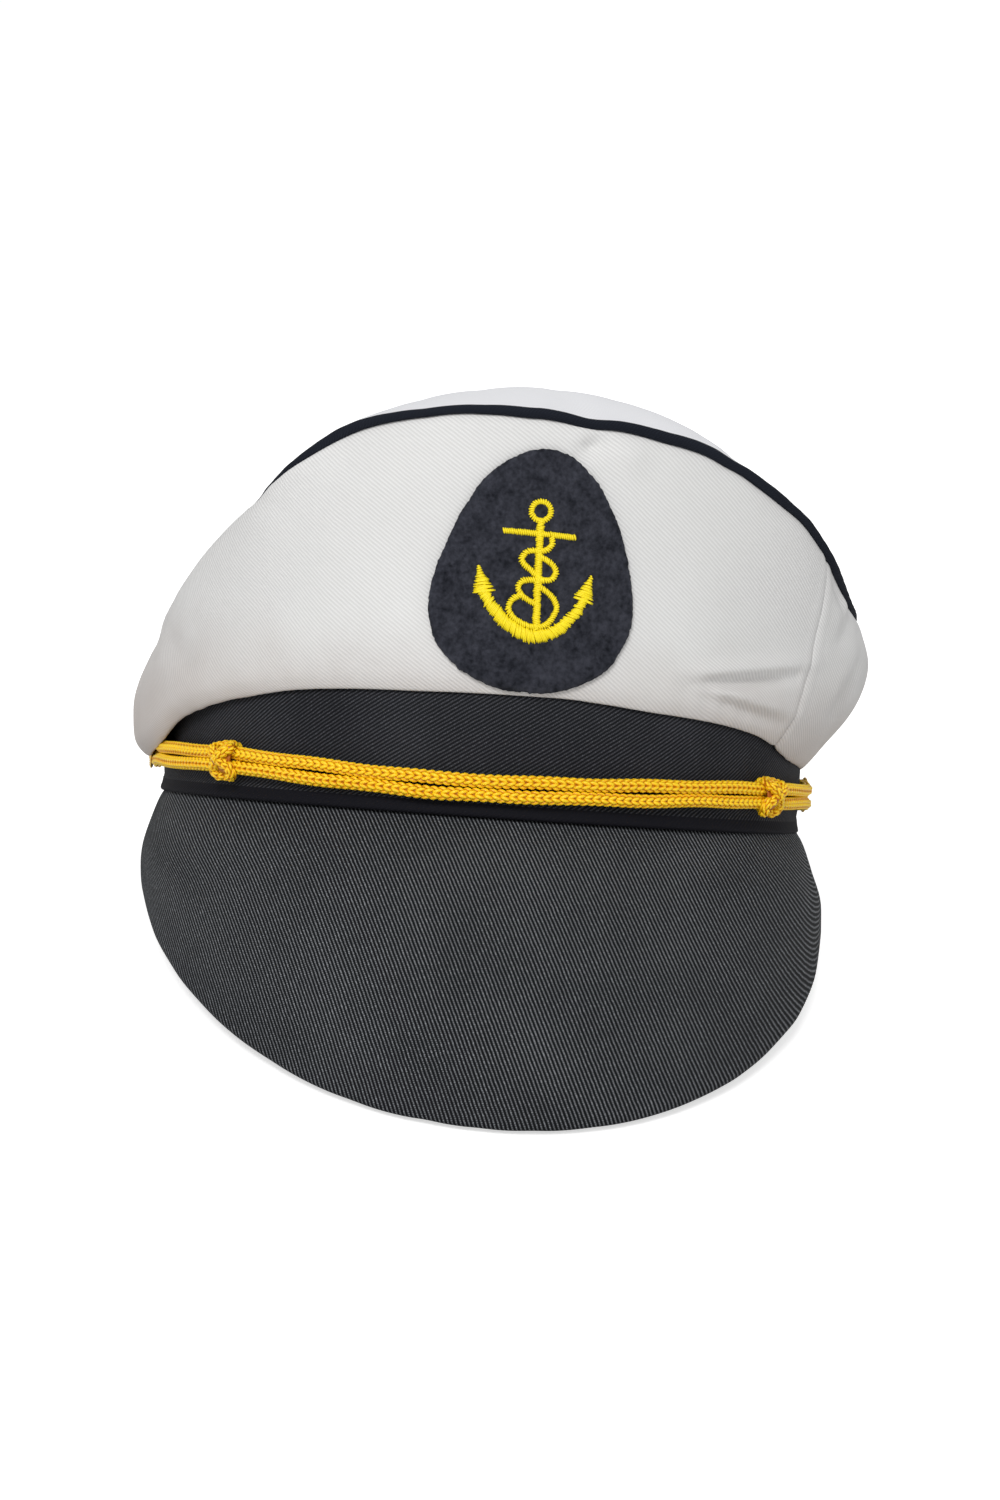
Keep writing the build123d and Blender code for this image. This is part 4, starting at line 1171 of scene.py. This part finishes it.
def washer(side):
    n = 48
    radius, height = np.array(WASHER_PROFILE).T
    angle = circle_angles(n)[:, None]
    points = revolve(side, radius, height + 0.02 * np.sin(angle * 3), angle)
    faces = [face[::side] for face in hoop_faces(n, len(radius), closed=True)]
    return points, faces, np.stack(np.broadcast_arrays(radius, angle), -1).reshape(-1, 2)


for side_name, side in SIDES:
    node = side_name + "_button"
    add_piece(node, button(side), GOLD_METAL, "gold_button", body=node)
for side_name, side in SIDES:
    add_piece(side_name + "_button_washer", washer(side), STEEL, "washer")

# ---------------------------------------------------------------- badge
# Badge drawings are (x, z) from this centre on the front panel.
BADGE_X, BADGE_Z = 1.8, 59.6
BADGE_OUTLINE = [
    (-1.51, 29.27), (2.88, 29.48), (7.13, 28.22), (12.26, 24.73), (17.69, 16.88), (21.65, 9.16),
    (23.75, 2.75), (25.2, -4.39), (25.4, -9.98), (24.4, -14.9), (20.35, -22.02),
    (15.69, -25.53), (10.71, -27.85), (6.15, -29.16), (1.28, -29.53), (-3.62, -29.42),
    (-8.59, -28.33), (-13.62, -26.29), (-18.76, -22.79), (-22.56, -17.25), (-24.4, -11.5),
    (-24.5, -5.7), (-22.99, 0.46), (-20.3, 7.87), (-16.53, 16.24), (-12.05, 22.4),
    (-7.45, 26.64)]
FELT_TOP = 1.66     # stitches start this far outside the panel
FRONT_PHI = np.arange(-20, 24.1, 1.0)


def rising_part(profile):
    """z and radius of a wall profile from its lowest point up."""
    low = int(np.argmin(profile[:60, 1]))
    return profile[low:, 1], profile[low:, 0]


FRONT_SECTIONS = [rising_part(profile) for profile in wall_profiles(FRONT_PHI)]


def front_surface(x, z, out):
    """Point over the front panel, out mm outside it."""
    phi = np.degrees(np.arcsin(np.clip(x / 107.6, -0.9, 0.9)))
    at = np.clip(phi - FRONT_PHI[0], 0, len(FRONT_PHI) - 1.001)
    low = np.floor(at).astype(int)
    t = at - low
    radius = np.empty(x.shape)
    for i in np.unique(low):
        here = low == i
        radius[here] = (np.interp(z[here], *FRONT_SECTIONS[i]) * (1 - t[here])
                        + np.interp(z[here], *FRONT_SECTIONS[i + 1]) * t[here])
    radius = radius + wall_relief(phi, z) * clip01((z - 33) / 8) * 0.9 + out
    angle = np.radians(phi)
    return np.stack([radius * np.sin(angle), -radius * np.cos(angle), z], -1)


def patch(outline, rings, lift, edge_lift, thickness, fuzz, seed):
    """Flat patch lying on the front panel, with a rounded rim and a fuzzy outline."""
    n = len(outline)
    draw = np.random.default_rng(seed)
    rho = np.r_[np.linspace(0.012, 0.93, rings - 4), 0.965, 0.985, 0.996, 1.0]
    drop = np.r_[np.zeros(rings - 4), 0.03, 0.14, 0.34, 0.62] * thickness
    centre = outline.mean(0)
    jag = fuzz * (draw.normal(size=n) * 0.6
                  + np.convolve(draw.normal(size=n + 8), np.ones(9) / 3, "valid"))
    spread = rho * (1 + jag[:, None] * (rho > 0.96))
    xy = centre + (outline[:, None, :] - centre) * spread[..., None]
    x, z = BADGE_X + xy[..., 0], BADGE_Z + xy[..., 1]
    grain = bumps(x * 1.3, z * 1.3, 0.05, seed + 1, waves=14) + draw.normal(size=x.shape) * 0.025
    under = lift + (edge_lift - lift) * rho ** 6
    outer = front_surface(x, z, under + thickness - drop + grain)
    inner = front_surface(x, z, under)
    return skin(outer, inner, np.stack([x, z], -1), closed=True, capped=True)


def stitches(pairs, lift, radius, hump):
    """One fine arched thread for each pair of end points."""
    t = np.linspace(0, 1, 7)
    arch = np.sin(math.pi * t)
    out = lift + hump * arch ** 0.6 - 0.25 * (1 - arch ** 0.4)
    threads = []
    for start, end in pairs:
        xy = start + (end - start) * t[:, None]
        line = front_surface(BADGE_X + xy[:, 0], BADGE_Z + xy[:, 1], out)
        threads.append(tube(line, radius * (0.75 + 0.25 * arch ** 0.5), 6,
                            up=(0.02, -1.0, 0.02), turns=True))
    return threads


def satin(points, width, gap, slant, radius, hump, lift=FELT_TOP, jitter=0.05):
    """Close stitches across a curve; width may be a list of stations along it."""
    samples = 400
    curve = smooth_curve(points, samples)
    along = tangents(curve)
    across = np.stack([-along[:, 1], along[:, 0]], -1)
    count = max(4, int(arc_length(np.array(points, float))[-1] / gap))
    width = np.atleast_1d(width)
    half = np.interp(np.linspace(0, 1, count), np.linspace(0, 1, len(width)), width) / 2
    pairs = []
    for h, i in zip(half, np.linspace(0, samples - 1, count).astype(int)):
        jitter_start, jitter_end = rng.normal(0, jitter), rng.normal(0, jitter)
        pairs.append((curve[i] - across[i] * (h + jitter_start) + along[i] * slant * h,
                      curve[i] + across[i] * (h + jitter_end) - along[i] * slant * h))
    return stitches(pairs, lift, radius, hump)


def filled_triangle(tip, left, right):
    """Threads laid from side tip-left to side tip-right."""
    tip, left, right = np.array(tip), np.array(left), np.array(right)
    count = int(max(np.linalg.norm(left - tip), np.linalg.norm(right - tip)) / 0.4)
    pairs = [(tip + (left - tip) * t + rng.normal(0, 0.12, 2),
              tip + (right - tip) * t + rng.normal(0, 0.12, 2))
             for t in np.linspace(0.06, 1, count)]
    return stitches(pairs, FELT_TOP + 0.12, radius=0.27, hump=0.5)


ANCHOR_RING = [(0.96 + 2.35 * math.cos(a), 14.6 + 2.35 * math.sin(a))
               for a in np.linspace(-1.5, 2 * math.pi - 1.5, 40)]
ANCHOR_STOCK = [(-7.6, 9.35), (0.9, 9.15), (9.5, 8.9)]
ANCHOR_SHANK = [(1.05, 12.4), (1.25, 2.0), (1.55, -8.0), (1.8, -14.0)]
ANCHOR_ARMS = [(-11.9, -4.6), (-10.89, -6.86), (-9.55, -8.74), (-6.43, -12.16), (-2.47, -14.7),
               (1.08, -15.65), (4.07, -15.1), (7.28, -13.4), (9.96, -10.58), (12.0, -7.7),
               (13.1, -5.4)]
ROPES = [
    [(3.98, 8.4), (4.26, 7.2), (3.4, 5.68), (1.48, 4.89), (-0.64, 4.98), (-2.33, 4.02),
     (-2.9, 2.62), (-1.96, 1.26), (-0.31, 0.07), (1.46, -1.47), (3.17, -2.02), (4.94, -1.39),
     (5.56, 0.17), (4.72, 1.78), (2.98, 2.93), (1.3, 3.68)],
    [(2.56, -2.07), (-0.46, -2.15), (-2.54, -2.66), (-3.29, -4.07), (-2.64, -5.69),
     (-1.04, -6.85), (1.0, -7.8)],
    [(-2.62, -5.93), (-4.59, -7.28), (-5.27, -9.2), (-4.46, -10.96), (-2.48, -12.4),
     (-0.3, -13.25), (1.83, -13.5), (3.9, -12.75), (5.58, -10.73), (6.33, -8.41), (5.6, -6.64),
     (3.98, -5.0), (1.9, -3.6)]]

badge_outline = closed_curve(BADGE_OUTLINE, 260)
backing_mesh = patch(badge_outline * 0.93, rings=20, lift=0.05, edge_lift=0.05, thickness=0.3,
                     fuzz=0.0, seed=31)
add_piece("badge_backing", backing_mesh, BACKING, "backing", trim=CROWN_TRIM)
felt_mesh = patch(badge_outline, rings=64, lift=0.40, edge_lift=0.55, thickness=1.25,
                  fuzz=0.0045, seed=33)
add_piece("badge_felt", felt_mesh, FELT, "felt", trim=CROWN_TRIM)

anchor = satin(ANCHOR_RING, 1.25, gap=0.5, slant=0.3, radius=0.3, hump=0.3)
anchor += satin(ANCHOR_STOCK, [1.25, 1.3, 1.35, 1.3, 1.35], gap=0.5, slant=0.35, radius=0.3,
                hump=0.35)
anchor += satin(ANCHOR_SHANK, 1.85, gap=0.42, slant=0.3, radius=0.27, hump=0.5, jitter=0.09)
anchor += satin(ANCHOR_ARMS, [2.6, 2.8, 3.0, 3.2, 3.4, 3.4, 3.3, 3.1, 2.8, 2.4, 2.2], gap=0.36,
                slant=0.3, radius=0.27, hump=0.6, jitter=0.2)
anchor += filled_triangle((-13.2, 0.8), (-14.0, -6.2), (-8.7, -5.2))
anchor += filled_triangle((14.3, 0.1), (15.2, -6.8), (10.2, -5.5))
add_piece("badge_anchor", join(anchor), YELLOW, "yellow_thread", trim=CROWN_TRIM)
rope = []
for rope_line in ROPES:
    rope += satin(rope_line, 1.25, gap=0.5, slant=0.45, radius=0.3, hump=0.32,
                  lift=FELT_TOP + 0.22)
add_piece("badge_rope", join(rope), YELLOW, "yellow_thread", trim=CROWN_TRIM)

# ---------------------------------------------------------------- camera
AZIMUTH, ELEVATION, ROLL = np.radians([-4.26, -0.45, 3.92])
VIEW_SHIFT_X, VIEW_SHIFT_Y, VIEW_DISTANCE = -4.89, -16.74, 750.0    # mm
scene = bpy.context.scene


def add_camera():
    back = np.array([math.sin(AZIMUTH) * math.cos(ELEVATION),
                     -math.cos(AZIMUTH) * math.cos(ELEVATION), math.sin(ELEVATION)])
    right = np.array([math.cos(AZIMUTH), math.sin(AZIMUTH), 0.0])
    up = np.cross(back, right)
    rolled_right = right * math.cos(ROLL) + up * math.sin(ROLL)
    rolled_up = -right * math.sin(ROLL) + up * math.cos(ROLL)
    pose = np.eye(4)
    pose[:3, :3] = CAP_TURN @ np.column_stack([rolled_right, rolled_up, back])
    pose[:3, 3] = place(back * VIEW_DISTANCE - right * VIEW_SHIFT_X - up * VIEW_SHIFT_Y)
    data = bpy.data.cameras.new("camera")
    data.sensor_fit = "AUTO"
    data.sensor_width = 36.0
    data.lens = 63.73032
    data.clip_end = 20
    camera = bpy.data.objects.new("camera", data)
    scene.collection.objects.link(camera)
    camera.matrix_world = Matrix(pose.tolist())
    scene.camera = camera


# ---------------------------------------------------------------- floor, world, lights
def add_floor():
    """Large matt floor, brightened for the camera only."""
    material, graph, bsdf = new_material("floor")
    graph.feed(bsdf, {"Base Color": (0.82, 0.82, 0.82, 1), "Roughness": 0.9,
                      "Emission Color": (1, 1, 1, 1),
                      "Emission Strength": graph.camera_ray() * 0.62})
    data = bpy.data.meshes.new("floor")
    half = 60
    corners = [(-half, -half, 0), (half, -half, 0), (half, half, 0), (-half, half, 0)]
    data.from_pydata(corners, [], [(0, 1, 2, 3)])
    data.materials.append(material)
    floor = bpy.data.objects.new("floor", data)
    scene.collection.objects.link(floor)


def add_world():
    """White surroundings, brighter to the camera than as light."""
    world = bpy.data.worlds.new("world")
    scene.world = world
    world.use_nodes = True
    graph = Graph(world.node_tree)
    graph.feed(world.node_tree.nodes["Background"],
               {0: (1, 1, 1, 1), 1: graph.camera_ray().scaled(0.50, 0.53)})


def add_area_light(name, location, size, power, colour=(1, 1, 1)):
    """Rectangular light aimed at the cap."""
    data = bpy.data.lights.new(name, "AREA")
    data.shape = "RECTANGLE"
    data.size = size
    data.size_y = size * 0.7
    data.energy = power
    data.color = colour
    light = bpy.data.objects.new(name, data)
    light.location = location
    aim = Vector((0, 0, 0.08)) - Vector(location)
    light.rotation_euler = aim.to_track_quat("-Z", "Y").to_euler()
    scene.collection.objects.link(light)


add_camera()
add_floor()
add_world()
add_area_light("key", (-0.38, -1.15, 1.05), size=0.55, power=12.2, colour=(1.0, 0.997, 0.99))
add_area_light("fill", (0.9, -0.9, 0.5), size=0.8, power=0.5)
add_area_light("rim", (0.3, 1.2, 1.0), size=0.8, power=5.0)
scene.view_settings.view_transform = "Standard"
scene.view_settings.look = "None"
